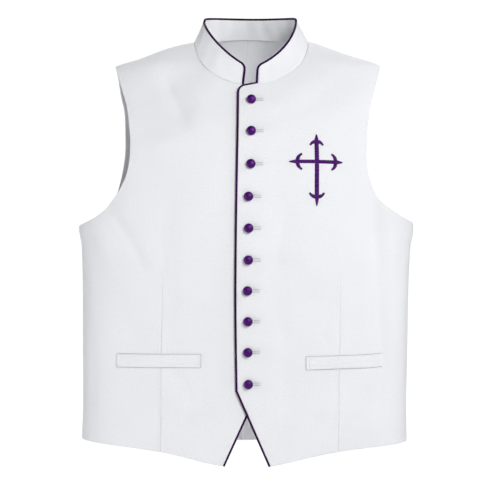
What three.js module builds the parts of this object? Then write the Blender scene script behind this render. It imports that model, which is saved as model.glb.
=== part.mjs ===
// A sleeveless clergy vest, hollow and filled out as if worn, with a stand collar left open at the throat.
// Millimetres, +Z up. The front faces -Y, and the wearer's left is at +X.
// The origin is where the wearer's shoulders carry the vest, between the middles of the shoulder seams.
// A panel is worked out on one half of the body, where x runs from the middle to the side, and is then mirrored.

import * as THREE from 'three';

// Cloth and trim
const wall = 2.2; // face cloth, canvas and lining together
const collarWall = 2.6;
const gap = 0.3; // between pieces at a seam
const pipingRadius = 1.5;
const pipingSides = 8;
const edgeInset = pipingRadius + gap; // from the middle of the piping to the cloth that it edges
const cloth = new THREE.Color('#eceef1');
const purple = new THREE.Color('#4b1f63');

// Level rings of the body, from the hem up. Front and back are depths from the side seam.
// A higher power makes that half of the ring squarer.
const rings = [
  { z: -660, halfWidth: 260, front: 112, back: 109, frontPower: 2.8, backPower: 2.5 },
  { z: -620, halfWidth: 259, front: 112, back: 107, frontPower: 2.8, backPower: 2.5 },
  { z: -560, halfWidth: 257.5, front: 112, back: 103, frontPower: 2.8, backPower: 2.5 },
  { z: -470, halfWidth: 258.5, front: 114, back: 100, frontPower: 2.8, backPower: 2.5 },
  { z: -380, halfWidth: 259.5, front: 118, back: 103, frontPower: 2.7, backPower: 2.4 },
  { z: -310, halfWidth: 262, front: 121, back: 109, frontPower: 2.6, backPower: 2.4 },
  { z: -278, halfWidth: 267, front: 121, back: 113, frontPower: 2.5, backPower: 2.4 },
  { z: -230, halfWidth: 261, front: 118, back: 117, frontPower: 2.5, backPower: 2.4 },
  { z: -170, halfWidth: 254, front: 109, back: 119, frontPower: 2.5, backPower: 2.4 },
  { z: -120, halfWidth: 248, front: 96, back: 117, frontPower: 2.5, backPower: 2.4 },
  { z: -80, halfWidth: 241, front: 79, back: 113, frontPower: 2.6, backPower: 2.3 },
  { z: -53, halfWidth: 234, front: 65, back: 108.5, frontPower: 2.7, backPower: 2.3 },
  { z: -34, halfWidth: 226, front: 53.5, back: 103, frontPower: 2.8, backPower: 2.2 },
  { z: -20, halfWidth: 211.5, front: 44, back: 97, frontPower: 2.9, backPower: 2.2 },
  { z: -6, halfWidth: 170, front: 33, back: 89, frontPower: 3, backPower: 2.2 },
  { z: 8, halfWidth: 128, front: 22, back: 78, frontPower: 3, backPower: 2.2 },
  { z: 20, halfWidth: 92.5, front: 14, back: 67, frontPower: 3, backPower: 2.2 },
  { z: 31, halfWidth: 58, front: 11, back: 57, frontPower: 3, backPower: 2.2 },
  { z: 36, halfWidth: 40, front: 10, back: 53, frontPower: 3, backPower: 2.2 },
];

// Neck and shoulder. The neckline is a half ellipse in the front view and a shallow curve in the back.
// It ends on the shoulder ridge, farther out on the wearer's left.
const neck = { sideZ: { left: 18.8, right: 22.1 }, frontZ: -54.2, backZ: 29 };
const shoulderTip = { x: 211.5, z: -20 };
const underarm = { x: 267, z: -278 };
const armholeLift = { fromZ: -228, left: 9.5, right: 0 }; // the wearer's left armhole ends higher
// The shoulders hang unevenly: a rise, in full past fullX and above fullZ, and none before fromX or below fromZ
const shoulderRise = { left: 2.2, right: -3.2, fromX: 30, fullX: 92, fromZ: -140, fullZ: -50 };
const armholeFront = [
  { x: 236.8, z: -263 },
  { x: 208.3, z: -235 },
  { x: 191.5, z: -204 },
  { x: 185.5, z: -172 },
  { x: 185.3, z: -135 },
  { x: 190, z: -94 },
  { x: 199, z: -61 },
];
const armholeBack = [
  { x: 242, z: -265 },
  { x: 216, z: -238 },
  { x: 205, z: -206 },
  { x: 199, z: -172 },
  { x: 197, z: -135 },
  { x: 198, z: -94 },
  { x: 205, z: -61 },
];

// The hem, from the front point or the middle back to the side seam
const hemFront = [
  { x: 30, z: -648.5 },
  { x: 63, z: -642 },
  { x: 102, z: -632.5 },
  { x: 139, z: -625.5 },
  { x: 178, z: -620.8 },
  { x: 217, z: -617.3 },
  { x: 259, z: -614 },
];
const hemBack = [
  { x: 0, z: -628.5 },
  { x: 130, z: -624 },
  { x: 200, z: -618 },
  { x: 259, z: -614 },
];

// The middle of the piping on a front, in the front view. The edge laps past the middle, to minus x.
const frontEdge = {
  hemPoint: { x: 35.5, z: -647.2 },
  slantTop: { x: -16.6, z: -531 },
  lower: { x: -19.7, z: -390 },
  upper: { x: -19.7, z: -240 },
  straightTop: { x: -17, z: -68 },
};
// The top step of each front, from the rounded corner to the collar's end. The left one covers the right one.
const steps = {
  left: { corner: { x: -16.2, z: -58.4 }, start: { x: -7, z: -56 }, end: { x: 13, z: -51.8 } },
  right: { corner: { x: -16, z: -64 }, start: { x: -7, z: -61.5 }, end: { x: 10, z: -52.4 } },
  pipedShare: 0.83, // the piping stops short of the collar's own piping
};

// The left front laps over the right one: it stands out near its edge, and the right one sinks under it.
const laps = {
  left: { offset: 1.6, fullTo: 20, goneAt: 62 },
  right: { offset: -1.9, fullTo: 22, goneAt: 70 },
};

// The long dart in each front, open to the hem
const dart = { x: { left: 142, right: 133.5 }, halfWidth: 2, depth: 0.9, top: -332, fade: 60 };

// Soft troughs in the cloth, each along a line from its top to its bottom, with a bell-shaped section.
// The middle of a line may bow to one side.
const folds = {
  frontRight: [
    { x: 137, z: -30, toX: 96, toZ: -124, bow: 5, reach: 14, depth: 7 },
    { x: 221, z: -252, toX: 152, toZ: -368, bow: 3, reach: 12, depth: 5 },
    { x: 125, z: -258, toX: 112, toZ: -468, bow: -9, reach: 13, depth: 5.6 },
    { x: 118, z: -498, toX: 86, toZ: -556, bow: 4, reach: 12, depth: 4 },
    { x: 160, z: -186, toX: 134, toZ: -258, bow: 0, reach: 26, depth: 2.4 },
    { x: 104, z: -588, toX: 44, toZ: -566, bow: -3, reach: 16, depth: 2.4 },
  ],
  frontLeft: [
    { x: 192, z: -196, toX: 208, toZ: -404, bow: -3, reach: 17, depth: 5.4 },
    { x: 210, z: -404, toX: 204, toZ: -566, bow: -5, reach: 13, depth: 6.4 },
    { x: 62, z: -250, toX: 42, toZ: -352, bow: 3, reach: 14, depth: 3.4 },
    { x: 45, z: -372, toX: 60, toZ: -470, bow: 3, reach: 14, depth: 3.4 },
    { x: 62, z: -482, toX: 54, toZ: -590, bow: -3, reach: 19, depth: 4.2 },
    { x: 112, z: -566, toX: 88, toZ: -616, bow: 2, reach: 13, depth: 2.6 },
  ],
  backRight: [
    { x: 128, z: -190, toX: 104, toZ: -430, bow: 6, reach: 24, depth: 5 },
    { x: 205, z: -270, toX: 160, toZ: -390, bow: 3, reach: 16, depth: 4.4 },
    { x: 60, z: -430, toX: 46, toZ: -600, bow: -4, reach: 22, depth: 4 },
  ],
  backLeft: [
    { x: 120, z: -170, toX: 92, toZ: -400, bow: -5, reach: 23, depth: 4.6 },
    { x: 212, z: -262, toX: 178, toZ: -372, bow: 2, reach: 16, depth: 4.6 },
    { x: 76, z: -460, toX: 70, toZ: -610, bow: 5, reach: 22, depth: 3.8 },
  ],
};

// The collar's upper edge. In the front view it is nearly level behind, turns down round a corner at each side
// and drops to the two front ends, which lean more to the middle with a greater spread.
const collar = {
  left: { halfWidth: 77.6, sideZ: 53.5, cornerZ: 60.5, frontDrop: 79.5, dropPower: 1.6, spread: 0.97, flare: 5.3 },
  right: { halfWidth: 70.6, sideZ: 48, cornerZ: 58.5, frontDrop: 74, dropPower: 1.4, spread: 1.1, flare: 0 },
  front: 63.6,
  back: 47.6,
  backZ: 61,
  backPower: 7, // a higher power makes the corners at its sides tighter
  flareReach: 0.2, // a flare moves the top of a front end away from the other end
  cornerRadius: 6,
  cornerSplits: [0.16, 0.36, 0.64], // extra columns by each rounded corner, as shares of the first stretch
  levels: 5,
};

// Buttons run down the middle of the front, on the left front.
const button = { radius: 7.4, height: 7.6 };
const buttons = [
  { x: 3.4, z: -79.8 },
  { x: 2.9, z: -129.6 },
  { x: 2.3, z: -181.1 },
  { x: -1.1, z: -231.4 },
  { x: -0.6, z: -280.1 },
  { x: -0.7, z: -329 },
  { x: -1.4, z: -376.3 },
  { x: -0.4, z: -423.7 },
  { x: 0, z: -471.3 },
  { x: 1.3, z: -520.4 },
];

// The pocket welts, from the inner end to the outer end
const welt = { topZ: -475.6, height: 19.5, thickness: 1.8 };
const welts = {
  left: { inner: 90.5, outer: 212.5, rise: 4 },
  right: { inner: 72.5, outer: 200.5, rise: -1 },
};

// The embroidered cross on the left chest. An arm ends in a crescent, with its horns turned in, and a spike.
const cross = { x: 104.5, z: -176.4, thickness: 1 };
const arms = [
  { turn: 0, length: 42.3, halfWidth: 2.5, shaft: 3 },
  { turn: 90, length: 43.4, halfWidth: 3.1, shaft: 3 },
  { turn: 180, length: 42.3, halfWidth: 2.5, shaft: 3 },
  { turn: 270, length: 68.5, halfWidth: 3.1, shaft: 5 },
];
const crescent = { spike: 10.5, horn: 11.6, setBack: 9.7, waist: 5.4, steps: 4 };

const degrees = Math.PI / 180;
const quarter = 90 * degrees;
const clamp = THREE.MathUtils.clamp;
const mix = THREE.MathUtils.lerp;
const smoothstep = THREE.MathUtils.smoothstep;

// A smooth curve through points, with no overshoot between them
function smoothCurve(xs, ys) {
  const last = xs.length - 1;
  const slopes = xs.slice(1).map((x, i) => (ys[i + 1] - ys[i]) / (x - xs[i]));
  const tangents = xs.map((x, i) => {
    if (i === 0) return slopes[0];
    if (i === last) return slopes[last - 1];
    const product = slopes[i - 1] * slopes[i];
    return product <= 0 ? 0 : (2 * product) / (slopes[i - 1] + slopes[i]);
  });
  return (x) => {
    const i = clamp(xs.findIndex((known) => known > x) - 1, 0, last - 1);
    const at = x >= xs[last] ? last - 1 : i;
    const step = xs[at + 1] - xs[at];
    const t = clamp((x - xs[at]) / step, 0, 1);
    const rest = 1 - t;
    return (
      ys[at] * (1 + 2 * t) * rest * rest +
      tangents[at] * step * t * rest * rest +
      ys[at + 1] * t * t * (3 - 2 * t) -
      tangents[at + 1] * step * t * t * rest
    );
  };
}

const column = (rows, by, name) => smoothCurve(rows.map((row) => row[by]), rows.map((row) => row[name]));
const halfWidthAt = column(rings, 'z', 'halfWidth');
const depthAt = { front: column(rings, 'z', 'front'), back: column(rings, 'z', 'back') };
const powerAt = { front: column(rings, 'z', 'frontPower'), back: column(rings, 'z', 'backPower') };
const hemAt = { front: column(hemFront, 'x', 'z'), back: column(hemBack, 'x', 'z') };
const neckHalfWidth = { left: halfWidthAt(neck.sideZ.left), right: halfWidthAt(neck.sideZ.right) };

// A point of the body's skin. The angle runs from the middle of that face to the side seam.
function skin(face, angle, z) {
  const share = 2 / powerAt[face](z);
  const outward = face === 'front' ? -1 : 1;
  return new THREE.Vector3(
    Math.sign(angle) * halfWidthAt(z) * Math.abs(Math.sin(angle)) ** share,
    outward * depthAt[face](z) * Math.max(Math.cos(angle), 0) ** share,
    z,
  );
}

function angleOf(face, x, z) {
  const ratio = Math.min(Math.abs(x) / halfWidthAt(z), 1);
  return Math.sign(x) * Math.asin(ratio ** (powerAt[face](z) / 2));
}

// The skin's outward normal. At the side seam and on the shoulder ridge it has no front or back lean.
function skinNormal(face, angle, z) {
  const turn = 0.5 * degrees;
  const rise = 0.5;
  const inner = clamp(angle, -quarter + turn, quarter - turn);
  const across = skin(face, inner + turn, z).sub(skin(face, inner - turn, z));
  const up = skin(face, inner, z + rise).sub(skin(face, inner, z - rise));
  const normal = across.cross(up).normalize();
  if (face === 'back') normal.negate();
  if (angle > inner) normal.setY(0).normalize();
  return normal;
}

// How far the folds of a panel sink the cloth at a point of the half body
function foldDepth(list, x, z) {
  return list.reduce((sum, fold) => {
    const along = new THREE.Vector2(fold.toX - fold.x, fold.toZ - fold.z);
    const length = along.length();
    const from = new THREE.Vector2(x - fold.x, z - fold.z);
    const down = from.dot(along) / length / length;
    const off = from.cross(along) / length - 4 * fold.bow * down * (1 - down);
    const ends = smoothstep(down, -0.25, 0.3) * (1 - smoothstep(down, 0.65, 1.25));
    return sum + fold.depth * ends * Math.exp(-((off / fold.reach) ** 2));
  }, 0);
}

// How far a panel's outer side stands out from the skin: a front does near its lapped edge
function offsetOf({ lap, folds: list }, x, z) {
  const lapped = lap ? lap.offset * (1 - smoothstep(x, lap.fullTo, lap.goneAt)) : 0;
  return lapped - foldDepth(list, x, z);
}

// A panel says which face and side it is on, and how its outer side leaves the skin.
const panels = {
  frontLeft: { face: 'front', name: 'left', side: 1, lap: laps.left, folds: folds.frontLeft },
  frontRight: { face: 'front', name: 'right', side: -1, lap: laps.right, folds: folds.frontRight },
  backLeft: { face: 'back', name: 'left', side: 1, folds: folds.backLeft },
  backRight: { face: 'back', name: 'right', side: -1, folds: folds.backRight },
};

// A point that stands out from a panel's outer side, at an angle and height
function standing(panel, angle, z, out) {
  const point = skin(panel.face, angle, z);
  const normal = skinNormal(panel.face, angle, z);
  const sideways = smoothstep(Math.abs(point.x), shoulderRise.fromX, shoulderRise.fullX);
  const rise = shoulderRise[panel.name] * sideways * smoothstep(z, shoulderRise.fromZ, shoulderRise.fullZ);
  point.addScaledVector(normal, offsetOf(panel, point.x, z) + out);
  point.z += rise;
  point.y += ((panel.face === 'front' ? -1 : 1) * gap) / 2;
  point.x = (point.x + (panel.face === 'back' ? gap / 2 : 0)) * panel.side;
  return point;
}

function panelNormal(panel, x, z) {
  const normal = skinNormal(panel.face, angleOf(panel.face, x, z), z);
  return normal.setX(normal.x * panel.side);
}

// A point that stands out from a panel's flat triangles, at a place on the half body in the front view
function onPanel(panel, x, z, out) {
  const place = new THREE.Vector3(x * panel.side, 0, z);
  const level = (point) => point.clone().setY(0);
  for (const [row, points] of panel.outer.slice(0, -1).entries()) {
    const above = panel.outer[row + 1];
    for (let col = 0; col + 1 < points.length; col++) {
      const [a, b, c, d] = [points[col], points[col + 1], above[col + 1], above[col]];
      for (const corners of [[a, b, c], [a, c, d]]) {
        const shares = new THREE.Triangle(...corners.map(level)).getBarycoord(place, new THREE.Vector3());
        if (!shares || Math.min(shares.x, shares.y, shares.z) < -1e-6) continue;
        const found = new THREE.Vector3();
        corners.forEach((corner, i) => found.addScaledVector(corner, shares.getComponent(i)));
        return found.addScaledVector(panelNormal(panel, x, z), out);
      }
    }
  }
  throw new Error(`no cloth at ${x}, ${z}`);
}

// A closed mesh from its points and triangles, turned so that the faces point out
function solid(points, triangles) {
  const volume = triangles.reduce((sum, [a, b, c]) => {
    return sum + points[a].dot(new THREE.Vector3().crossVectors(points[b], points[c]));
  }, 0);
  const faces = volume < 0 ? triangles.map(([a, b, c]) => [a, c, b]) : triangles;
  const geometry = new THREE.BufferGeometry().setFromPoints(points);
  geometry.setIndex(faces.flat());
  geometry.computeVertexNormals();
  return geometry;
}

// A wall of cloth: two grids of points, one outside and one inside, closed round their four edges
function wallOf(outer, inner) {
  const across = outer[0].length;
  const count = outer.length * across;
  const triangles = [];
  const quad = (a, b, c, d) => triangles.push([a, b, c], [a, c, d]);
  const at = (row, col) => row * across + col;
  for (let row = 0; row + 1 < outer.length; row++) {
    for (let col = 0; col + 1 < across; col++) {
      const corners = [at(row, col), at(row, col + 1), at(row + 1, col + 1), at(row + 1, col)];
      quad(...corners);
      quad(...corners.map((corner) => corner + count).reverse());
    }
  }
  const right = outer.map((row, i) => at(i, across - 1));
  const left = outer.map((row, i) => at(i, 0)).reverse();
  const bottom = outer[0].map((point, i) => i);
  const top = outer[0].map((point, i) => at(outer.length - 1, i)).reverse();
  const rim = [bottom, right, top, left].flatMap((side) => side.slice(0, -1));
  rim.forEach((a, i) => {
    const b = rim[(i + 1) % rim.length];
    quad(b, a, a + count, b + count);
  });
  return solid([...outer.flat(), ...inner.flat()], triangles);
}

// Points along a curve of the half body, evenly spaced on the skin.
// More are tried near the curve's ends, where the skin can be steep.
function spaced(face, curve, count) {
  const tries = 400;
  const tried = Array.from({ length: tries + 1 }, (_, i) => {
    const { x, y: z } = curve((1 - Math.cos((Math.PI * i) / tries)) / 2);
    const angle = angleOf(face, x, z);
    return { angle, z, place: skin(face, angle, z) };
  });
  const lengths = [0];
  tried.slice(1).forEach((point, i) => lengths.push(lengths[i] + point.place.distanceTo(tried[i].place)));
  return Array.from({ length: count + 1 }, (_, i) => {
    const wanted = (lengths[tries] * i) / count;
    const found = lengths.findIndex((length) => length >= wanted - 1e-9);
    return tried[found];
  });
}

// A spine is one or more curves end to end, each with its own number of rows.
function spine(face, curves, counts) {
  return curves.flatMap((curve, i) => spaced(face, curve, counts[i]).slice(i ? 1 : 0));
}

const pointOf = ({ x, z }) => new THREE.Vector2(x, z);
const lineBetween = (from, to) => (t) => pointOf(from).lerp(pointOf(to), t);

function splineThrough(points) {
  const curve = new THREE.SplineCurve(points.map(pointOf));
  return (t) => curve.getPoint(t);
}

// Part of a curve, from one share of it to another
const partOf = (curve, from, to) => (t) => curve(mix(from, to, t));

// A panel's neckline in the front or back view, from the middle to the shoulder
function neckline({ face, name }) {
  const sideZ = neck.sideZ[name];
  return (t) => {
    const [side, ahead] = [Math.sin(t * quarter), Math.cos(t * quarter)];
    const z = face === 'front' ? mix(sideZ, neck.frontZ, ahead) : mix(sideZ, neck.backZ, ahead ** 2);
    return new THREE.Vector2(neckHalfWidth[name] * side, z);
  };
}

// The middle of the piping on a front: the slant, the long edge, the rounded corner and the top step
function edgeCurves(step) {
  const bend = [frontEdge.straightTop, step.corner, step.start].map(pointOf);
  const round = new THREE.QuadraticBezierCurve(...bend);
  return {
    slant: lineBetween(frontEdge.hemPoint, frontEdge.slantTop),
    long: splineThrough([frontEdge.slantTop, frontEdge.lower, frontEdge.upper, frontEdge.straightTop]),
    corner: (t) => round.getPoint(t),
    step: lineBetween(step.start, step.end),
  };
}

// The armhole from the underarm to the shoulder tip, and the side seam at a height
function armholeOf(panel, rows) {
  const lift = (z) => z + armholeLift[panel.name] * smoothstep(-z, -armholeLift.fromZ, -underarm.z);
  return splineThrough([underarm, ...rows, shoulderTip].map(({ x, z }) => ({ x, z: lift(z) })));
}
const underarmZ = (panel) => underarm.z + armholeLift[panel.name];
const sideSeam = (z) => ({ x: 300, z }); // an x past the body's side is taken back to it

// A curve moved to its right-hand side, which on a front's edge is into the cloth
function inset(curve, distance) {
  const nudge = 1e-3;
  return (t) => {
    const along = curve(Math.min(t + nudge, 1)).sub(curve(Math.max(t - nudge, 0))).normalize();
    return curve(t).add(new THREE.Vector2(along.y, -along.x).multiplyScalar(distance));
  };
}

// Rows of angle and height across a panel, through its three spines. A front has its dart on the middle one.
function panelGrid(panel, spines, shares) {
  const [edge, middle, side] = spines;
  const hem = hemAt[panel.face];
  const hemRows = 6;
  const rowAt = (row) => {
    const middleX = dart.x[panel.name];
    const notch = angleOf('front', middleX + dart.halfWidth, dart.top) - angleOf('front', middleX, dart.top);
    const [from, to] = [-1, 1].map((sign) => ({ angle: middle[row].angle + sign * notch, z: middle[row].z }));
    const between = (a, b) => (t) => ({ angle: mix(a.angle, b.angle, t), z: mix(a.z, b.z, t) });
    return [
      ...shares.inner.map(between(edge[row], from)),
      ...(panel.face === 'front' ? [from, middle[row], to] : [middle[row]]),
      ...shares.outer.map(between(panel.face === 'front' ? to : middle[row], side[row])),
    ];
  };
  const hemShift = rowAt(0).map(({ angle, z }) => hem(skin(panel.face, angle, z).x) - z);
  return edge.map((_, row) => {
    const left = Math.max(0, 1 - row / hemRows);
    return rowAt(row).map(({ angle, z }, i) => ({ angle, z: z + hemShift[i] * left }));
  });
}

// Shares of the way across, without the far end
const even = (count) => Array.from({ length: count }, (_, i) => i / count);

function panelSolid(panel, grid, grooveAt) {
  panel.outer = grid.map((row) => row.map(({ angle, z }, i) => standing(panel, angle, z, -grooveAt(i, z))));
  return wallOf(panel.outer, grid.map((row) => row.map(({ angle, z }) => standing(panel, angle, z, -wall))));
}

// Rows in each stretch of a front: slant, body, chest, corner, step and neck
const frontRows = [5, 9, 8, 3, 2, 8];
const frontInner = 8;
const frontOuter = 8;

function frontPanel(panel) {
  const step = steps[panel.name];
  const middleX = dart.x[panel.name];
  const edges = edgeCurves(step);
  const neckFrom = Math.asin(step.end.x / neckHalfWidth[panel.name]) / quarter;
  const belowArm = 0.5; // the share of the long edge that is level with the underarm
  const long = inset(edges.long, edgeInset);
  const edge = spine('front', [
    inset(edges.slant, edgeInset),
    partOf(long, 0, belowArm),
    partOf(long, belowArm, 1),
    inset(edges.corner, edgeInset),
    inset(edges.step, edgeInset),
    partOf(neckline(panel), neckFrom, 1),
  ], frontRows);
  const middleTop = splineThrough([
    { x: middleX, z: -290 }, { x: 127, z: -200 }, { x: 121, z: -120 }, { x: 123, z: -60 }, { x: 132, z: -25 },
    { x: 152, z: 0 },
  ]);
  const middle = spine('front', [
    lineBetween({ x: middleX, z: -623.5 }, { x: middleX, z: -525 }),
    lineBetween({ x: middleX, z: -525 }, { x: middleX, z: -290 }),
    partOf(middleTop, 0, 0.43),
    partOf(middleTop, 0.43, 0.47),
    partOf(middleTop, 0.47, 0.51),
    partOf(middleTop, 0.51, 1),
  ], frontRows);
  const armhole = armholeOf(panel, armholeFront);
  const side = spine('front', [
    lineBetween(sideSeam(-617), sideSeam(-515)),
    lineBetween(sideSeam(-515), sideSeam(underarmZ(panel))),
    partOf(armhole, 0, 0.54),
    partOf(armhole, 0.54, 0.6),
    partOf(armhole, 0.6, 0.65),
    partOf(armhole, 0.65, 1),
  ], frontRows);
  const shares = { inner: even(frontInner), outer: even(frontOuter).slice(1).concat(1) };
  const grid = panelGrid(panel, [edge, middle, side], shares);
  const dartDepth = (z) => dart.depth * smoothstep(-z, -dart.top, -dart.top + dart.fade);
  const grooveAt = (i, z) => (i === frontInner + 1 ? dartDepth(z) : 0);
  return panelSolid(panel, grid, grooveAt);
}

// Rows in each stretch of a back: body, shoulder blade and neck
const backRows = [13, 11, 7];
const backInner = 6;
const backOuter = 7;

function backPanel(panel) {
  const edge = spine('back', [
    lineBetween({ x: 0, z: hemBack[0].z }, { x: 0, z: -300 }),
    lineBetween({ x: 0, z: -300 }, { x: 0, z: neck.backZ }),
    neckline(panel),
  ], backRows);
  const middleTop = splineThrough([
    { x: 115, z: -292 }, { x: 108, z: -180 }, { x: 100, z: -70 }, { x: 112, z: -20 }, { x: 152, z: 0 },
  ]);
  const middle = spine('back', [
    lineBetween({ x: 115, z: -632 }, { x: 115, z: -292 }),
    partOf(middleTop, 0, 0.52),
    partOf(middleTop, 0.52, 1),
  ], backRows);
  const armhole = armholeOf(panel, armholeBack);
  const side = spine('back', [
    lineBetween(sideSeam(-617), sideSeam(underarmZ(panel))),
    partOf(armhole, 0, 0.72),
    partOf(armhole, 0.72, 1),
  ], backRows);
  const shares = { inner: even(backInner), outer: even(backOuter).slice(1).concat(1) };
  return panelSolid(panel, panelGrid(panel, [edge, middle, side], shares), () => 0);
}

// A round rope with closed ends along a list of points
function rope(points, radius, sides) {
  const rim = (place, along) => {
    const across = new THREE.Vector3(0, 0, 1).cross(along);
    if (across.length() < 0.3) across.set(0, 1, 0).cross(along);
    across.normalize();
    const up = new THREE.Vector3().crossVectors(along, across);
    return Array.from({ length: sides }, (_, i) => {
      const turn = (2 * Math.PI * i) / sides;
      const [sideways, upward] = [radius * Math.cos(turn), radius * Math.sin(turn)];
      return place.clone().addScaledVector(across, sideways).addScaledVector(up, upward);
    });
  };
  const last = points.length - 1;
  const all = points.flatMap((place, i) => {
    const along = points[Math.min(i + 1, last)].clone().sub(points[Math.max(i - 1, 0)]).normalize();
    return rim(place, along);
  });
  const triangles = [];
  for (let ring = 0; ring < last; ring++) {
    for (let i = 0; i < sides; i++) {
      const [a, b] = [ring * sides + i, ring * sides + ((i + 1) % sides)];
      triangles.push([a, b, b + sides], [a, b + sides, a + sides]);
    }
  }
  for (let i = 1; i + 1 < sides; i++) {
    triangles.push([0, i + 1, i], [last * sides, last * sides + i, last * sides + i + 1]);
  }
  return solid(all, triangles);
}

// Piping down a front, from the collar's end to the hem point, in the middle of the wall's thickness
function frontPiping(panel) {
  const edges = edgeCurves(steps[panel.name]);
  const curves = [edges.slant, edges.long, edges.corner, partOf(edges.step, 0, steps.pipedShare)];
  const path = spine('front', curves, [7, 26, 5, 3]);
  return rope(path.map(({ angle, z }) => standing(panel, angle, z, -wall / 2)), pipingRadius, pipingSides);
}

// The collar's upper edge on one half, at a turn from the middle front (0) round the side to the middle back
function collarTop({ halfWidth, sideZ, cornerZ, frontDrop, dropPower, spread, flare }, turn) {
  const [side, ahead] = [Math.max(Math.sin(turn), 0), Math.cos(turn)];
  const bend = (power) => (1 - side ** power) ** (1 / power);
  const behindZ = mix(sideZ, mix(collar.backZ, cornerZ, side ** 2), bend(collar.backPower));
  const [depth, z] = ahead > 0 ? [collar.front, sideZ - frontDrop * bend(dropPower)] : [collar.back, behindZ];
  const flared = ahead > 0 ? flare * Math.exp(-((side / collar.flareReach) ** 2)) : 0;
  return new THREE.Vector3(halfWidth * side ** spread + flared, -depth * ahead, z);
}

// The collar's columns on one half, each from a point of the panels' own neckline up to the edge
function collarColumns(front, back) {
  const neckPoints = (panel, rows) => panel.outer.slice(-rows - 1).map((points) => points[0].clone());
  const ahead = neckPoints(front, frontRows.at(-1));
  const behind = neckPoints(back, backRows.at(-1)).reverse().slice(1);
  behind.at(-1).setX(0);
  const splits = collar.cornerSplits.map((share) => ahead[0].clone().lerp(ahead[1], share));
  const turnOf = (foot) => Math.asin(clamp((foot.x * front.side) / neckHalfWidth[front.name], 0, 1));
  return [
    ...[ahead[0], ...splits, ...ahead.slice(1)].map((foot) => ({ foot, turn: turnOf(foot) })),
    ...behind.map((foot) => ({ foot, turn: Math.PI - turnOf(foot) })),
  ].map(({ foot, turn }) => {
    const top = collarTop(collar[front.name], turn);
    return { foot, top: top.setX(top.x * front.side) };
  });
}

// The whole collar from one front end to the other. The piping on its edge stands clear of the cloth.
function collarStrip() {
  const left = collarColumns(panels.frontLeft, panels.backLeft);
  const right = collarColumns(panels.frontRight, panels.backRight);
  const columns = [...left, ...right.slice(0, -1).reverse()];
  const ends = [columns[0].top, columns.at(-1).top];
  return columns.map(({ foot, top }, i) => {
    const up = top.clone().sub(foot);
    const height = up.length();
    up.divideScalar(height);
    const [before, after] = [columns[Math.max(i - 1, 0)], columns[Math.min(i + 1, columns.length - 1)]];
    const along = after.top.clone().sub(before.top).normalize();
    const normal = along.clone().cross(up);
    const clear = edgeInset / normal.length();
    const run = Math.min(...ends.map((end) => end.distanceTo(top)));
    const reach = clamp(collar.cornerRadius - run, 0, collar.cornerRadius);
    const cutBy = (radius) => radius - Math.sqrt(radius ** 2 - reach ** 2);
    const at = (rise) => foot.clone().addScaledVector(up, rise);
    const cloth = height - clear - cutBy(collar.cornerRadius);
    const levels = Array.from({ length: collar.levels + 1 }, (_, k) => at(mix(gap, cloth, k / collar.levels)));
    const edge = at(height - cutBy(collar.cornerRadius + edgeInset));
    return { levels, edge, along, normal: normal.normalize() };
  });
}

function collarBand(strip) {
  const sheetAt = (out) => strip[0].levels.map((_, k) => {
    return strip.map(({ levels, normal }) => levels[k].clone().addScaledVector(normal, out));
  });
  return wallOf(sheetAt(0), sheetAt(-collarWall));
}

// Piping up each end of the collar and along its upper edge, in the middle of the wall's thickness
function collarPiping(strip) {
  const upEnd = ({ levels, along }, way) => [0.1, 0.4, 0.7, 1].map((share) => {
    return levels[0].clone().lerp(levels.at(-1), share).addScaledVector(along, way * edgeInset);
  });
  const sunk = (column, points) => points.map((point) => point.addScaledVector(column.normal, -collarWall / 2));
  const [first, last] = [strip[0], strip.at(-1)];
  const over = strip.flatMap((column) => sunk(column, [column.edge.clone()]));
  const [start, end] = [sunk(first, upEnd(first, -1)), sunk(last, upEnd(last, 1)).reverse()];
  return rope([...start, ...over, ...end], pipingRadius, pipingSides);
}

// A covered button: a dome with a rounded rim on a narrow neck
function buttonShape() {
  const { radius, height } = button;
  const profile = [
    [0, 0], [0.42, 0], [0.42, 0.12], [0.9, 0.18], [1, 0.42], [0.82, 0.8], [0.45, 0.96], [0, 1],
  ];
  return new THREE.LatheGeometry(profile.map(([r, h]) => new THREE.Vector2(r * radius, h * height)), 12);
}

// Where a panel's own columns cross a level, in the front view, between two places. The dart's bottom is left out.
function columnsBetween(panel, z, from, to) {
  const places = panel.outer[0].map((_, col) => {
    const row = panel.outer.findIndex((points) => points[col].z > z);
    const [below, above] = [panel.outer[row - 1][col], panel.outer[row][col]];
    return mix(below.x, above.x, (z - below.z) / (above.z - below.z)) * panel.side;
  });
  const apart = dart.halfWidth;
  const offDart = (x) => Math.abs(x - dart.x[panel.name]) > apart / 2;
  return places.filter((x) => x > from + apart && x < to - apart && offDart(x));
}

// A welt bends where its panel bends: its points are the panel's, moved out to its underside and to its face.
function weltStrip(panel, { inner, outer, rise }) {
  const up = 2;
  const levels = Array.from({ length: up + 1 }, (_, i) => welt.topZ - welt.height * (1 - i / up));
  const sheetAt = (out) => levels.map((level) => {
    return [inner, ...columnsBetween(panel, level, inner, outer), outer].map((x) => {
      return onPanel(panel, x, level + rise * ((x - inner) / (outer - inner) - 0.5), out);
    });
  });
  return wallOf(sheetAt(gap + welt.thickness), sheetAt(gap));
}

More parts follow.
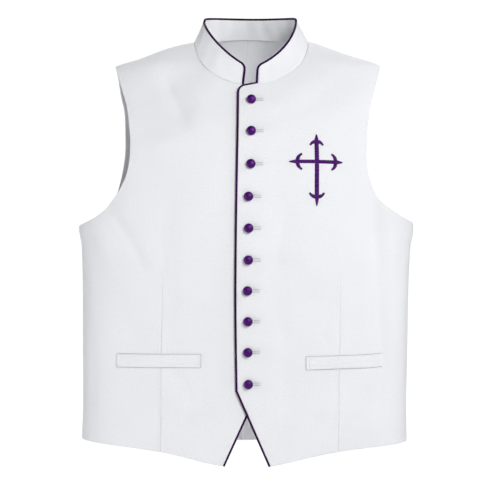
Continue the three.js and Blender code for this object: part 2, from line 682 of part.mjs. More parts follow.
// One side of an arm of the cross, from its root to its spike: x along the arm and y across it
function armSide({ length, halfWidth, shaft }) {
  const crown = length - crescent.spike;
  const neckEnd = new THREE.Vector2(crown - crescent.waist, halfWidth);
  const hornTip = new THREE.Vector2(crown - crescent.setBack, crescent.horn);
  const inside = new THREE.QuadraticBezierCurve(neckEnd, new THREE.Vector2(neckEnd.x, 8.4), hornTip);
  const top = new THREE.Vector2(crown + 0.2, 2);
  const outside = new THREE.QuadraticBezierCurve(hornTip, new THREE.Vector2(crown + 0.4, 8.8), top);
  const step = neckEnd.x / shaft;
  const along = Array.from({ length: shaft }, (_, i) => new THREE.Vector2(step * (i + 1), halfWidth));
  return [
    ...along,
    ...inside.getPoints(crescent.steps).slice(1),
    ...outside.getPoints(crescent.steps).slice(1),
    new THREE.Vector2(mix(crown, length, 0.45), 1.1),
  ];
}

// The cross laid flat: its outline, and its triangles as short pieces that can bend with the cloth
function crossPattern() {
  const outline = [];
  const faces = [];
  const centre = [];
  arms.forEach((arm, i) => {
    const side = armSide(arm);
    const below = side.map(({ x, y }) => new THREE.Vector2(x, -y));
    const corner = new THREE.Vector2(arms[(i + 1) % arms.length].halfWidth, arm.halfWidth);
    const points = [...below, new THREE.Vector2(arm.length, 0), ...side.reverse(), corner];
    const first = outline.length;
    outline.push(...points.map((point) => point.rotateAround(new THREE.Vector2(), arm.turn * degrees)));
    const last = outline.length - 1;
    const before = i ? first - 1 : null; // the corner before this arm: for the first arm, the outline's last point
    for (let k = 0; k < arm.shaft; k++) {
      const [a, b] = [k ? first + k - 1 : before, first + k];
      const [c, d] = [last - 1 - k, last - k];
      faces.push([a, b, c], [a, c, d]);
    }
    const head = Array.from({ length: points.length - 2 * arm.shaft + 1 }, (_, k) => first + arm.shaft - 1 + k);
    const flat = head.map((k) => outline[k]);
    faces.push(...THREE.ShapeUtils.triangulateShape(flat, []).map((face) => face.map((k) => head[k])));
    centre.push(last);
  });
  const [a, b, c, d] = centre;
  faces.push([a, b, c], [a, c, d]);
  return { outline, faces: faces.map((face) => face.map((k) => k ?? outline.length - 1)) };
}

function crossShape(panel) {
  const { outline, faces } = crossPattern();
  const count = outline.length;
  const placed = (out) => outline.map(({ x, y }) => onPanel(panel, cross.x + x, cross.z + y, out));
  const triangles = [...faces, ...faces.map(([a, b, c]) => [a + count, c + count, b + count])];
  outline.forEach((_, i) => {
    const next = (i + 1) % count;
    triangles.push([next, i, i + count], [next, i + count, next + count]);
  });
  return solid([...placed(gap + cross.thickness), ...placed(gap)], triangles);
}

const vest = new THREE.Group();
vest.name = 'clergy_vest';

function add(name, geometry, color, roughness) {
  const mesh = new THREE.Mesh(geometry, new THREE.MeshStandardMaterial({ color, roughness, metalness: 0 }));
  mesh.name = name;
  vest.add(mesh);
  return mesh;
}

add('front_left', frontPanel(panels.frontLeft), cloth, 0.85);
add('front_right', frontPanel(panels.frontRight), cloth, 0.85);
add('back_left', backPanel(panels.backLeft), cloth, 0.85);
add('back_right', backPanel(panels.backRight), cloth, 0.85);
const strip = collarStrip();
add('collar', collarBand(strip), cloth, 0.85);
add('piping_collar', collarPiping(strip), purple, 0.7);
add('piping_left_front', frontPiping(panels.frontLeft), purple, 0.7);
add('piping_right_front', frontPiping(panels.frontRight), purple, 0.7);
add('pocket_welt_left', weltStrip(panels.frontLeft, welts.left), cloth, 0.85);
add('pocket_welt_right', weltStrip(panels.frontRight, welts.right), cloth, 0.85);
add('chest_cross', crossShape(panels.frontLeft), purple, 0.5);

const domed = buttonShape();
buttons.forEach(({ x, z }, i) => {
  const mesh = add(`button_${String(i + 1).padStart(2, '0')}`, domed, purple, 0.6);
  mesh.position.copy(onPanel(panels.frontLeft, x, z, gap));
  mesh.quaternion.setFromUnitVectors(new THREE.Vector3(0, 1, 0), panelNormal(panels.frontLeft, x, z));
});

export default vest;
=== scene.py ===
import math

import bpy
import numpy as np
from mathutils import Matrix, Vector
from mathutils.kdtree import KDTree


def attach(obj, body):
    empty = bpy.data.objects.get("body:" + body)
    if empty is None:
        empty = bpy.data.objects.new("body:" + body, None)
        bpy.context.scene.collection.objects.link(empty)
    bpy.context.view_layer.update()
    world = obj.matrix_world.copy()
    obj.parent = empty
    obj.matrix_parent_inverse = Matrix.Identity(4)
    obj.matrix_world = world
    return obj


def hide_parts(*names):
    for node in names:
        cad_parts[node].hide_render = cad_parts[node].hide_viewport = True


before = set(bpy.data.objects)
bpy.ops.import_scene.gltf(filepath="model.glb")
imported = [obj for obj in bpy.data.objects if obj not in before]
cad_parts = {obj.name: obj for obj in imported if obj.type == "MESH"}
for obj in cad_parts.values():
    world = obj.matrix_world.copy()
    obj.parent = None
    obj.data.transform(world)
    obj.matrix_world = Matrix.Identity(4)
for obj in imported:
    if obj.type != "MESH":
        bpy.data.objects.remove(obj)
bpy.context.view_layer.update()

# Sizes below are in millimetres, in the frame's axes: the front faces -Y and the wearer's left is at +X.
mm = 0.001
quarter = math.pi / 2


def addObject(name, data):
    added = bpy.data.objects.new(name, data)
    bpy.context.scene.collection.objects.link(added)
    return added


# Camera: the vest hangs half a degree out of true, and is seen from a little to the wearer's right.
cameraSet = {
    "distance": 3000, "azimuth": -2, "height": -313.6, "roll": 0.5, "frameWidth": 800, "shift": 0.008,
    "sensor": 36, "clipEnd": 60,
}

camera = addObject("camera", bpy.data.cameras.new("camera"))
camera.data.sensor_width = cameraSet["sensor"]
camera.data.lens = cameraSet["sensor"] * cameraSet["distance"] / cameraSet["frameWidth"]
camera.data.shift_x = cameraSet["shift"]
camera.data.clip_end = cameraSet["clipEnd"]
turn = Matrix.Rotation(math.radians(cameraSet["azimuth"]), 4, "Z")
place = turn @ Vector((0, -cameraSet["distance"] * mm, 0)) + Vector((0, 0, cameraSet["height"] * mm))
tilt = Matrix.Rotation(quarter, 4, "X") @ Matrix.Rotation(math.radians(cameraSet["roll"]), 4, "Z")
camera.matrix_world = Matrix.Translation(place) @ turn @ tilt
bpy.context.scene.camera = camera
print("camera placed")


# Nodes and colours

def linear(hexColour):
    parts = [int(hexColour[i:i + 2], 16) / 255 for i in (1, 3, 5)]
    return [c / 12.92 if c <= 0.04045 else ((c + 0.055) / 1.055) ** 2.4 for c in parts] + [1]


def addNode(tree, kind, inputs=None, **settings):
    node = tree.nodes.new(kind)
    for name, value in settings.items():
        setattr(node, name, value)
    for name, value in (inputs or {}).items():
        if isinstance(value, bpy.types.NodeSocket):
            tree.links.new(value, node.inputs[name])
        else:
            node.inputs[name].default_value = value
    return node


def newMaterial(name, viewColour):
    material = bpy.data.materials.new(name)
    material.use_nodes = True
    material.node_tree.nodes.clear()
    material.diffuse_color = linear(viewColour)
    return material, material.node_tree


# Woven cloth: a plain weave, slubs that are a little darker, and very soft unevenness from pressing and wear.
# The weave lies on the piece's own flat cut (its UV map, in metres), or for a trim on Object coordinates.
def wovenCloth(name, look):
    material, tree = newMaterial(name, look["colour"])
    if look["flatCut"]:
        place = addNode(tree, "ShaderNodeUVMap", uv_map="flatCut").outputs["UV"]
    else:
        place = addNode(tree, "ShaderNodeTexCoord").outputs["Object"]
    body = addNode(tree, "ShaderNodeTexCoord").outputs["Object"]
    perThread = math.pi / (look["thread"] * mm)
    scaled = addNode(tree, "ShaderNodeVectorMath", {0: place, 1: (perThread,) * 3}, operation="MULTIPLY")
    axes = addNode(tree, "ShaderNodeSeparateXYZ", {0: scaled.outputs[0]})
    warp = addNode(tree, "ShaderNodeMath", {0: axes.outputs["X"]}, operation="SINE")
    weftAxis = "Y" if look["flatCut"] else "Z"
    weft = addNode(tree, "ShaderNodeMath", {0: axes.outputs[weftAxis]}, operation="SINE")
    weave = addNode(tree, "ShaderNodeMath", {0: warp.outputs[0], 1: weft.outputs[0]}, operation="MULTIPLY")
    slubs = addNode(
        tree, "ShaderNodeTexNoise", {"Vector": place, "Scale": 1 / (look["slub"] * mm), "Detail": 3}
    )
    soft = addNode(
        tree, "ShaderNodeTexNoise", {"Vector": body, "Scale": 1 / (look["soft"] * mm), "Detail": 2}
    )
    tones = addNode(tree, "ShaderNodeValToRGB", {"Fac": slubs.outputs["Fac"]})
    tones.color_ramp.elements[0].position = 0.35
    tones.color_ramp.elements[0].color = linear(look["shadeColour"])
    tones.color_ramp.elements[1].position = 0.7
    tones.color_ramp.elements[1].color = linear(look["colour"])
    rough = addNode(
        tree, "ShaderNodeMapRange",
        {"Value": soft.outputs["Fac"], "From Min": 0.3, "From Max": 0.7,
         "To Min": look["roughness"] - 0.05, "To Max": look["roughness"] + 0.05},
    )
    unevenBump = addNode(
        tree, "ShaderNodeBump",
        {"Height": soft.outputs["Fac"], "Strength": 1, "Distance": look["softRelief"] * mm},
    )
    threadBump = addNode(
        tree, "ShaderNodeBump",
        {"Height": weave.outputs[0], "Strength": 1, "Distance": look["threadRelief"] * mm,
         "Normal": unevenBump.outputs["Normal"]},
    )
    shader = addNode(
        tree, "ShaderNodeBsdfPrincipled",
        {"Base Color": tones.outputs["Color"], "Roughness": rough.outputs["Result"],
         "Normal": threadBump.outputs["Normal"], "Specular IOR Level": look.get("gloss", 0.5),
         "Specular Tint": linear(look["sheenColour"]),
         "Sheen Weight": look["sheen"], "Sheen Roughness": 0.45, "Sheen Tint": linear(look["sheenColour"])},
    )
    addNode(tree, "ShaderNodeOutputMaterial", {"Surface": shader.outputs["BSDF"]})
    return material


# Sewing thread: glossy along its length and a little different from strand to strand
def sewingThread(name, look):
    material, tree = newMaterial(name, look["colour"])
    tone = addNode(tree, "ShaderNodeAttribute", attribute_name="tone")
    tones = addNode(tree, "ShaderNodeValToRGB", {"Fac": tone.outputs["Fac"]})
    tones.color_ramp.elements[0].color = linear(look["shadeColour"])
    tones.color_ramp.elements[1].color = linear(look["colour"])
    twist = addNode(
        tree, "ShaderNodeTexNoise",
        {"Vector": addNode(tree, "ShaderNodeTexCoord").outputs["Object"], "Scale": 1 / (look["twist"] * mm)},
    )
    bump = addNode(tree, "ShaderNodeBump", {"Height": twist.outputs["Fac"], "Distance": look["relief"] * mm})
    shader = addNode(
        tree, "ShaderNodeBsdfPrincipled",
        {"Base Color": tones.outputs["Color"], "Roughness": look["roughness"],
         "Normal": bump.outputs["Normal"], "Specular Tint": linear(look["sheenColour"]),
         "Sheen Weight": look["sheen"], "Sheen Roughness": 0.3, "Sheen Tint": linear(look["sheenColour"])},
    )
    addNode(tree, "ShaderNodeOutputMaterial", {"Surface": shader.outputs["BSDF"]})
    return material


# White worsted suiting: smooth and matt, so its folds read as soft grey shade. Its threads are 0.45 mm apart.
whiteSuiting = wovenCloth("white_worsted_suiting", {
    "colour": "#f3f4f7", "shadeColour": "#edeef1", "flatCut": True, "thread": 0.45, "threadRelief": 0.05,
    "slub": 2.5, "soft": 55, "softRelief": 2.2, "roughness": 0.82, "sheen": 0.12, "sheenColour": "#ffffff",
})
# Bias-cut purple poplin round a cord: dark aubergine in shade, with a plum sheen along its top
purplePiping = wovenCloth("purple_poplin_piping", {
    "colour": "#3a1248", "shadeColour": "#2b0d36", "flatCut": False, "thread": 0.35, "threadRelief": 0.03,
    "slub": 1.2, "soft": 8, "softRelief": 0.25, "roughness": 0.62, "sheen": 0.04, "sheenColour": "#6a3a91",
})
# Purple satin stretched over a button: smoother, so that the light makes a soft violet patch
purpleSatin = wovenCloth("purple_satin_cover", {
    "colour": "#3f0a62", "shadeColour": "#2f074b", "flatCut": False, "thread": 0.3, "threadRelief": 0.02,
    "slub": 1.5, "soft": 6, "softRelief": 0.3, "roughness": 0.36, "gloss": 1, "sheen": 0.05,
    "sheenColour": "#c774e6",
})
# Rayon embroidery thread: it shines where it lies across the light
purpleRayon = sewingThread("purple_rayon_thread", {
    "colour": "#5f2282", "shadeColour": "#36104d", "twist": 0.4, "relief": 0.04, "roughness": 0.34,
    "sheen": 0.06, "sheenColour": "#b27fd2",
})
# White silk twist in the buttonholes and the hand stitches
whiteTwist = sewingThread("white_buttonhole_twist", {
    "colour": "#f5f6f8", "shadeColour": "#eceef1", "twist": 0.3, "relief": 0.03, "roughness": 0.55,
    "sheen": 0.2, "sheenColour": "#ffffff",
})
# Gimp, the cord under the edges of a worked buttonhole and in the pockets' seams. Its grey is painted shade.
# The grey draws shadow lines along the buttonhole lips and round the welts.
gimpPaintedShade = sewingThread("gimp_grey_painted_shade", {
    "colour": "#a4a4ac", "shadeColour": "#919199", "twist": 0.3, "relief": 0.03, "roughness": 0.7,
    "sheen": 0.1, "sheenColour": "#ffffff",
})
print("materials made")


# The body's skin. It repeats the sizes of the part's source.

# Each row is a ring: its height, half width and depths, and how square its front and back are.
ringColumns = ("z", "halfWidth", "front", "back", "frontPower", "backPower")
rings = dict(zip(ringColumns, zip(
    (-660, 260, 112, 109, 2.8, 2.5),
    (-620, 259, 112, 107, 2.8, 2.5),
    (-560, 257.5, 112, 103, 2.8, 2.5),
    (-470, 258.5, 114, 100, 2.8, 2.5),
    (-380, 259.5, 118, 103, 2.7, 2.4),
    (-310, 262, 121, 109, 2.6, 2.4),
    (-278, 267, 121, 113, 2.5, 2.4),
    (-230, 261, 118, 117, 2.5, 2.4),
    (-170, 254, 109, 119, 2.5, 2.4),
    (-120, 248, 96, 117, 2.5, 2.4),
    (-80, 241, 79, 113, 2.6, 2.3),
    (-53, 234, 65, 108.5, 2.7, 2.3),
    (-34, 226, 53.5, 103, 2.8, 2.2),
    (-20, 211.5, 44, 97, 2.9, 2.2),
    (-6, 170, 33, 89, 3, 2.2),
    (8, 128, 22, 78, 3, 2.2),
    (20, 92.5, 14, 67, 3, 2.2),
    (31, 58, 11, 57, 3, 2.2),
    (36, 40, 10, 53, 3, 2.2),
)))
neck = {"sideZ": {"left": 18.8, "right": 22.1}, "frontZ": -54.2, "backZ": 29}
shoulderTip = (211.5, -20)
underarm = (267, -278)
armholeLift = {"fromZ": -228, "left": 9.5, "right": 0}
shoulderRise = {"left": 2.2, "right": -3.2, "fromX": 30, "fullX": 92, "fromZ": -140, "fullZ": -50}
armholeFront = [
    (236.8, -263), (208.3, -235), (191.5, -204), (185.5, -172), (185.3, -135), (190, -94), (199, -61),
]
armholeBack = [(242, -265), (216, -238), (205, -206), (199, -172), (197, -135), (198, -94), (205, -61)]
hemFront = [(30, -648.5), (63, -642), (102, -632.5), (139, -625.5), (178, -620.8), (217, -617.3), (259, -614)]
hemBack = [(0, -628.5), (130, -624), (200, -618), (259, -614)]
frontEdge = {
    "hemPoint": (35.5, -647.2), "slantTop": (-16.6, -531), "lower": (-19.7, -390), "upper": (-19.7, -240),
    "straightTop": (-17, -68),
}
steps = {
    "left": {"corner": (-16.2, -58.4), "start": (-7, -56), "end": (13, -51.8)},
    "right": {"corner": (-16, -64), "start": (-7, -61.5), "end": (10, -52.4)},
}
laps = {
    "left": {"offset": 1.6, "fullTo": 20, "goneAt": 62},
    "right": {"offset": -1.9, "fullTo": 22, "goneAt": 70},
}
# A dart is a stitched groove between two low lips, and lies flat under the pocket welt.
dart = {
    "x": {"left": 142, "right": 133.5}, "top": -335, "fade": 70, "flatFrom": -498, "flatTo": -473, "ramp": 2,
    "width": 0.75, "depth": 1.4, "lip": 0.4, "lipAt": 1.9, "lipWidth": 1.2,
}
cloth = {
    "wall": 2.2, "collarWall": 2.6, "seam": 0.04, "tuck": 1.1, "pipingRadius": 1.8,
    "seamValley": 1.1, "seamRidge": 0.55,  # the valley's width, and the ridge's as a share of its distance
}

# The main folds, close to those in the part's source. Each row is a trough: the x and z where it starts and
# where it ends, its reach, its depth, and how far it bows to one side.
folds = {
    "frontRight": [
        (137, -30, 98, -118, 15, 7.6, 5),
        (221, -252, 152, -362, 12, 6.4, 3),
        (125, -258, 112, -468, 14, 7.2, -9),
        (118, -498, 86, -556, 12, 4, 4),
        (160, -186, 134, -258, 26, 2.4, 0),
        (104, -588, 44, -566, 16, 2.4, -3),
    ],
    "frontLeft": [
        (192, -196, 208, -404, 16, 6.4, -3),
        (210, -404, 204, -566, 13, 7.4, -5),
        (62, -250, 42, -352, 14, 3.4, 3),
        (45, -372, 60, -470, 14, 3.4, 3),
        (62, -482, 54, -590, 19, 4.2, -3),
        (112, -566, 88, -616, 13, 2.6, 2),
    ],
    "backRight": [
        (128, -190, 104, -430, 24, 5, 6),
        (205, -270, 160, -390, 16, 4.4, 3),
        (60, -430, 46, -600, 22, 4, -4),
    ],
    "backLeft": [
        (120, -170, 92, -400, 23, 4.6, -5),
        (212, -262, 178, -372, 16, 4.6, 2),
        (76, -460, 70, -610, 22, 3.8, 5),
    ],
}
# Finer creases that only show close to, with no bow. A negative depth is a soft ridge.
creases = {
    "frontRight": [
        (158, -40, 140, -96, 9, -1.1), (92, -52, 66, -112, 10, -1.2), (236, -286, 188, -372, 9, -1.4),
        (246, -300, 226, -372, 9, 1.2), (30, -318, 86, -338, 8, 0.7), (26, -262, 70, -270, 7, 0.6),
        (188, -420, 170, -470, 12, 1.3), (238, -470, 242, -590, 10, 1.3), (150, -508, 142, -604, 16, 1.2),
        (196, -506, 180, -560, 14, 1.1),
    ],
    "frontLeft": [
        (22, -64, 58, -82, 8, 1.5), (30, -108, 78, -98, 9, 0.9), (28, -150, 60, -158, 8, 0.8),
        (26, -280, 74, -268, 7, 0.8), (24, -330, 90, -344, 8, 0.7), (28, -180, 66, -172, 7, 0.6),
        (222, -276, 188, -300, 8, 0.8), (244, -300, 238, -372, 9, 1.3), (112, -440, 128, -468, 9, 1.4),
        (188, -450, 182, -468, 8, 1.0), (232, -420, 236, -470, 9, -0.9), (176, -570, 186, -612, 12, 1.5),
    ],
    "backRight": [
        (40, -40, 96, -64, 12, 1.3), (180, -110, 150, -196, 14, 1.8), (240, -300, 205, -352, 11, 1.3),
        (20, -330, 30, -470, 10, 1.1), (196, -440, 206, -590, 16, 1.9),
    ],
    "backLeft": [
        (48, -36, 108, -58, 12, 1.2), (176, -120, 152, -210, 15, 1.7), (232, -306, 198, -346, 10, 1.4),
        (24, -360, 22, -500, 11, 1.0), (186, -450, 190, -570, 15, 2.0),
    ],
}
foldEnds = {"rise": (-0.25, 0.3), "fall": (0.65, 1.25)}
# Pressed cloth is never quite smooth: low waves run over it, each with its own length, turn in degrees,
# height and phase. They die away towards the side seams and where the fronts lap.
waveFades = {"side": (190, 245), "lap": (12, 70)}
waves = [
    (142, 18, 0.9, 0.4),
    (97, -38, 0.75, 2.1),
    (118, 74, 0.75, 4.4),
    (71, 52, 0.45, 1.2),
    (59, -66, 0.38, 5.3),
]


def ease(value, low, high):
    t = np.clip((value - low) / (high - low), 0, 1)
    return t * t * (3 - 2 * t)


# A smooth curve through points, with no overshoot between them
def smoothCurve(xs, ys):
    xs, ys = np.array(xs, float), np.array(ys, float)
    strides = np.diff(xs)
    slopes = np.diff(ys) / strides
    product, total = slopes[:-1] * slopes[1:], slopes[:-1] + slopes[1:]
    inner = np.where(product > 0, 2 * product / np.where(product > 0, total, 1), 0)
    tangents = np.concatenate([slopes[:1], inner, slopes[-1:]])

    def curve(x):
        i = np.clip(np.searchsorted(xs, x, side="right") - 1, 0, len(xs) - 2)
        t = np.clip((x - xs[i]) / strides[i], 0, 1)
        rest = 1 - t
        ends = ys[i] * (1 + 2 * t) * rest**2 + ys[i + 1] * t**2 * (3 - 2 * t)
        return ends + strides[i] * t * rest * (tangents[i] * rest - tangents[i + 1] * t)

    return curve


def ringColumn(name):
    return smoothCurve(rings["z"], rings[name])


halfWidthAt = ringColumn("halfWidth")
depthAt = {"front": ringColumn("front"), "back": ringColumn("back")}
powerAt = {"front": ringColumn("frontPower"), "back": ringColumn("backPower")}
hemAt = {"front": smoothCurve(*zip(*hemFront)), "back": smoothCurve(*zip(*hemBack))}
neckHalfWidth = {name: float(halfWidthAt(z)) for name, z in neck["sideZ"].items()}


# A point of the skin. The angle runs from the middle of that face to the side seam.
def skin(face, angle, z):
    share = 2 / powerAt[face](z)
    outward = -1 if face == "front" else 1
    x = np.sign(angle) * halfWidthAt(z) * np.abs(np.sin(angle)) ** share
    y = outward * depthAt[face](z) * np.maximum(np.cos(angle), 0) ** share
    return np.stack([x, y, z + 0 * x], -1)


def angleOf(face, x, z):
    ratio = np.minimum(np.abs(x) / halfWidthAt(z), 1)
    return np.sign(x) * np.arcsin(ratio ** (powerAt[face](z) / 2))


def unit(vectors):
    return vectors / np.maximum(np.linalg.norm(vectors, axis=-1, keepdims=True), 1e-9)


def skinNormal(face, angle, z):
    turned, rise = math.radians(0.5), 0.5
    inner = np.clip(angle, turned - quarter, quarter - turned)
    across = skin(face, inner + turned, z) - skin(face, inner - turned, z)
    up = skin(face, inner, z + rise) - skin(face, inner, z - rise)
    normal = np.cross(across, up) * (1 if face == "front" else -1)
    normal[..., 1] = np.where(angle > inner, 0, normal[..., 1])
    return unit(normal)


def foldDepth(rows, x, z):
    total = np.zeros_like(x)
    for startX, startZ, endX, endZ, reach, depth, bow in ((*row, 0)[:7] for row in rows):
        alongX, alongZ = endX - startX, endZ - startZ
        length = math.hypot(alongX, alongZ)
        fromX, fromZ = x - startX, z - startZ
        down = (fromX * alongX + fromZ * alongZ) / length**2
        off = (fromX * alongZ - fromZ * alongX) / length - 4 * bow * down * (1 - down)
        ends = ease(down, *foldEnds["rise"]) * (1 - ease(down, *foldEnds["fall"]))
        total += depth * ends * np.exp(-((off / reach) ** 2))
    return total


def waveHeight(panel, x, z):
    total = np.zeros_like(x)
    for length, turn, height, phase in waves:
        turn = math.radians(turn)
        along = x * panel["side"] * math.cos(turn) + z * math.sin(turn)
        total += height * np.sin(2 * math.pi * along / length + phase)
    total *= 1 - ease(x, *waveFades["side"])
    return total * (ease(x, *waveFades["lap"]) if panel["face"] == "front" else 1)


def dartDepth(panel, x, z):
    below = ease(-z, -dart["top"], -dart["top"] + dart["fade"])
    low, high, ramp = dart["flatFrom"], dart["flatTo"], dart["ramp"]
    underWelt = ease(z, low, low + ramp) * (1 - ease(z, high - ramp, high))
    off = x - dart["x"][panel["name"]]
    groove = dart["depth"] * np.exp(-((off / dart["width"]) ** 2))
    lip = dart["lip"] * np.exp(-(((np.abs(off) - dart["lipAt"]) / dart["lipWidth"]) ** 2))
    return (groove - lip) * below * (1 - underWelt)


# How far a panel's outer side stands out from the skin
def offsetOf(panel, x, z):
    key = panel["key"]
    offset = waveHeight(panel, x, z) - foldDepth(folds[key], x, z) - foldDepth(creases[key], x, z)
    if panel["face"] == "front":
        lap = laps[panel["name"]]
        offset += lap["offset"] * (1 - ease(x, lap["fullTo"], lap["goneAt"])) - dartDepth(panel, x, z)
    return offset


panels = {}
for face in ("front", "back"):
    for name, side in (("left", 1), ("right", -1)):
        key = face + name.capitalize()
        panels[key] = {"key": key, "node": f"{face}_{name}", "face": face, "name": name, "side": side}


# Points that stand out from a panel's outer side, at angles and heights
def standing(panel, angle, z, out):
    point = skin(panel["face"], angle, z)
    sideways = ease(np.abs(point[..., 0]), shoulderRise["fromX"], shoulderRise["fullX"])
    rise = shoulderRise[panel["name"]] * sideways * ease(z, shoulderRise["fromZ"], shoulderRise["fullZ"])
    away = offsetOf(panel, point[..., 0], z) + out
    point = point + skinNormal(panel["face"], angle, z) * away[..., None]
    point[..., 2] += rise
    point[..., 1] += cloth["seam"] * (-1 if panel["face"] == "front" else 1)
    if panel["face"] == "back":
        point[..., 0] += cloth["seam"]
    point[..., 0] *= panel["side"]
    return point


def onPanel(panel, x, z, out):
    x, z, out = np.broadcast_arrays(np.array(x, float), z, out)
    return standing(panel, angleOf(panel["face"], x, z), z, out)


# Curves in the front view, as functions of a share from 0 to 1

def lineBetween(start, end):
    start, end = np.array(start, float), np.array(end, float)
    return lambda t: start + (end - start) * t[:, None]


def splineThrough(points):
    points = np.array(points, float)
    last = len(points) - 1

    def curve(t):
        i = np.clip((t * last).astype(int), 0, last - 1)
        w = (t * last - i)[:, None]
        before, start, end, after = (points[np.clip(i + k, 0, last)] for k in (-1, 0, 1, 2))
        leave, arrive = (end - before) / 2, (after - start) / 2
        cubic = 2 * start - 2 * end + leave + arrive
        square = 3 * end - 3 * start - 2 * leave - arrive
        return cubic * w**3 + square * w**2 + leave * w + start

    return curve


def bendThrough(start, corner, end):
    points = [np.array(p, float) for p in (start, corner, end)]

    def curve(t):
        shares = (1 - t) ** 2, 2 * t * (1 - t), t**2
        return sum(point * share[:, None] for point, share in zip(points, shares))

    return curve


# The parts of a curve between shares of it
def cutAt(curve, *shares):
    return [lambda t, a=a, b=b: curve(a + (b - a) * t) for a, b in zip(shares, shares[1:])]


# A curve moved to its right-hand side, which on a front's edge is into the cloth
def inset(curve, distance):
    def moved(t):
        along = unit(curve(np.minimum(t + 1e-3, 1)) - curve(np.maximum(t - 1e-3, 0)))
        return curve(t) + np.stack([along[:, 1], -along[:, 0]], -1) * distance
    return moved


def neckline(panel):
    sideZ, halfWidth = neck["sideZ"][panel["name"]], neckHalfWidth[panel["name"]]

    def curve(t):
        side, ahead = np.sin(t * quarter), np.cos(t * quarter)
        if panel["face"] == "front":
            z = sideZ + (neck["frontZ"] - sideZ) * ahead
        else:
            z = sideZ + (neck["backZ"] - sideZ) * ahead**2
        return np.stack([halfWidth * side, z], -1)

    return curve


# How far round the neck a point is: from 0 at the middle front to half a turn at the back
def neckTurn(panel, x, z):
    sideZ, share = neck["sideZ"][panel["name"]], np.clip(x / neckHalfWidth[panel["name"]], 0, 1)
    byWidth = np.arcsin(share)
    if panel["face"] == "back":
        return math.pi - byWidth
    byHeight = np.arccos(np.clip((sideZ - z) / (sideZ - neck["frontZ"]), 0, 1))
    return byWidth + (byHeight - byWidth) * ease(share, 0.3, 0.6)


def lengthsAlong(points):
    return np.concatenate([[0], np.cumsum(np.linalg.norm(np.diff(points, axis=0), axis=1))])


# Angles and heights along curves end to end, evenly spaced on the skin. More rows lie close to each end.
def spine(face, curves, counts, near=()):
    rows = []
    for i, (curve, count) in enumerate(zip(curves, counts)):
        tried = curve((1 - np.cos(np.linspace(0, math.pi, 401))) / 2)
        angle = angleOf(face, tried[:, 0], tried[:, 1])
        lengths = lengthsAlong(skin(face, angle, tried[:, 1]))
        shares = [np.linspace(0, 1, count + 1)]
        if i == 0:
            shares.append(np.array(near) / count)
        if i == len(curves) - 1:
            shares.append(1 - np.array(near) / count)
        wanted = np.unique(np.concatenate(shares)) * lengths[-1]
        found = np.stack([np.interp(wanted, lengths, angle), np.interp(wanted, lengths, tried[:, 1])], -1)
        rows.append(found[1:] if rows else found)
    return np.concatenate(rows)


def edgeCurves(step):
    return {
        "slant": lineBetween(frontEdge["hemPoint"], frontEdge["slantTop"]),
        "long": splineThrough([frontEdge[name] for name in ("slantTop", "lower", "upper", "straightTop")]),
        "corner": bendThrough(frontEdge["straightTop"], step["corner"], step["start"]),
        "step": lineBetween(step["start"], step["end"]),
    }


def armholeOf(panel, rows):
    points = []
    for x, z in [underarm, *rows, shoulderTip]:
        lifted = ease(-z, -armholeLift["fromZ"], -underarm[1])
        points.append((x, z + armholeLift[panel["name"]] * float(lifted)))
    return splineThrough(points)


def upright(x, heights):
    return [lineBetween((x, low), (x, high)) for low, high in zip(heights, heights[1:])]


# Each panel has three spines, from the hem to the shoulder seam, and rows between them.
weaveGrid = {
    "rowsPer": 5, "across": 44, "hemRows": 30, "nearEdge": [0.12, 0.32, 0.6],
    "nearSeam": [0.0022, 0.0045, 0.008, 0.013],
}
# Each spine runs in sections, with so many rows each. The middle one goes straight up and then bends to the
# shoulder, and the outer one goes up the side seam and round the armhole.
pastSide = 300  # wider than any ring, so that it means the side seam
spineSet = {
    "front": {
        "rows": [5, 9, 8, 3, 2, 8], "belowNeck": 5, "belowArm": 2, "middleX": dart["x"],
        "middle": [-623.5, -525, -290], "top": [(127, -200), (121, -120), (123, -60), (132, -25), (152, 0)],
        "topCuts": (0, 0.43, 0.47, 0.51, 1), "side": [-617, -515], "armhole": armholeFront,
        "armCuts": (0, 0.54, 0.6, 0.65, 1),
    },
    "back": {
        "rows": [13, 11, 7], "belowNeck": 2, "belowArm": 1, "middleX": {"left": 115, "right": 115},
        "middle": [-632, -292], "top": [(108, -180), (100, -70), (112, -20), (152, 0)],
        "topCuts": (0, 0.52, 1), "side": [-617], "armhole": armholeBack, "armCuts": (0, 0.72, 1),
        "edge": [hemBack[0][1], -300, neck["backZ"]],
    },
}


def edgeSections(panel):
    if panel["face"] == "back":
        return [*upright(0, spineSet["back"]["edge"]), neckline(panel)]
    step = steps[panel["name"]]
    neckFrom = math.asin(step["end"][0] / neckHalfWidth[panel["name"]]) / quarter
    slant, long, corner, top = (inset(curve, cloth["tuck"]) for curve in edgeCurves(step).values())
    return [slant, *cutAt(long, 0, 0.5, 1), corner, top, *cutAt(neckline(panel), neckFrom, 1)]


def spinesOf(panel):
    face, name = panel["face"], panel["name"]
    shape, near = spineSet[face], weaveGrid["nearEdge"]
    counts = [count * weaveGrid["rowsPer"] for count in shape["rows"]]
    middleX = shape["middleX"][name]
    top = splineThrough([(middleX, shape["middle"][-1]), *shape["top"]])
    arm = armholeOf(panel, shape["armhole"])
    sideHeights = [*shape["side"], underarm[1] + armholeLift[name]]
    sections = [
        edgeSections(panel),
        [*upright(middleX, shape["middle"]), *cutAt(top, *shape["topCuts"])],
        [*upright(pastSide, sideHeights), *cutAt(arm, *shape["armCuts"])],
    ]
    rows = [sum(counts[:shape[key]]) + len(near) for key in ("belowNeck", "belowArm")]
    return [spine(face, section, counts, near) for section in sections] + rows


def sharesWith(count, extras):
    extras = np.array(extras)
    return np.unique(np.concatenate([np.linspace(0, 1, count + 1), extras, 1 - extras]))


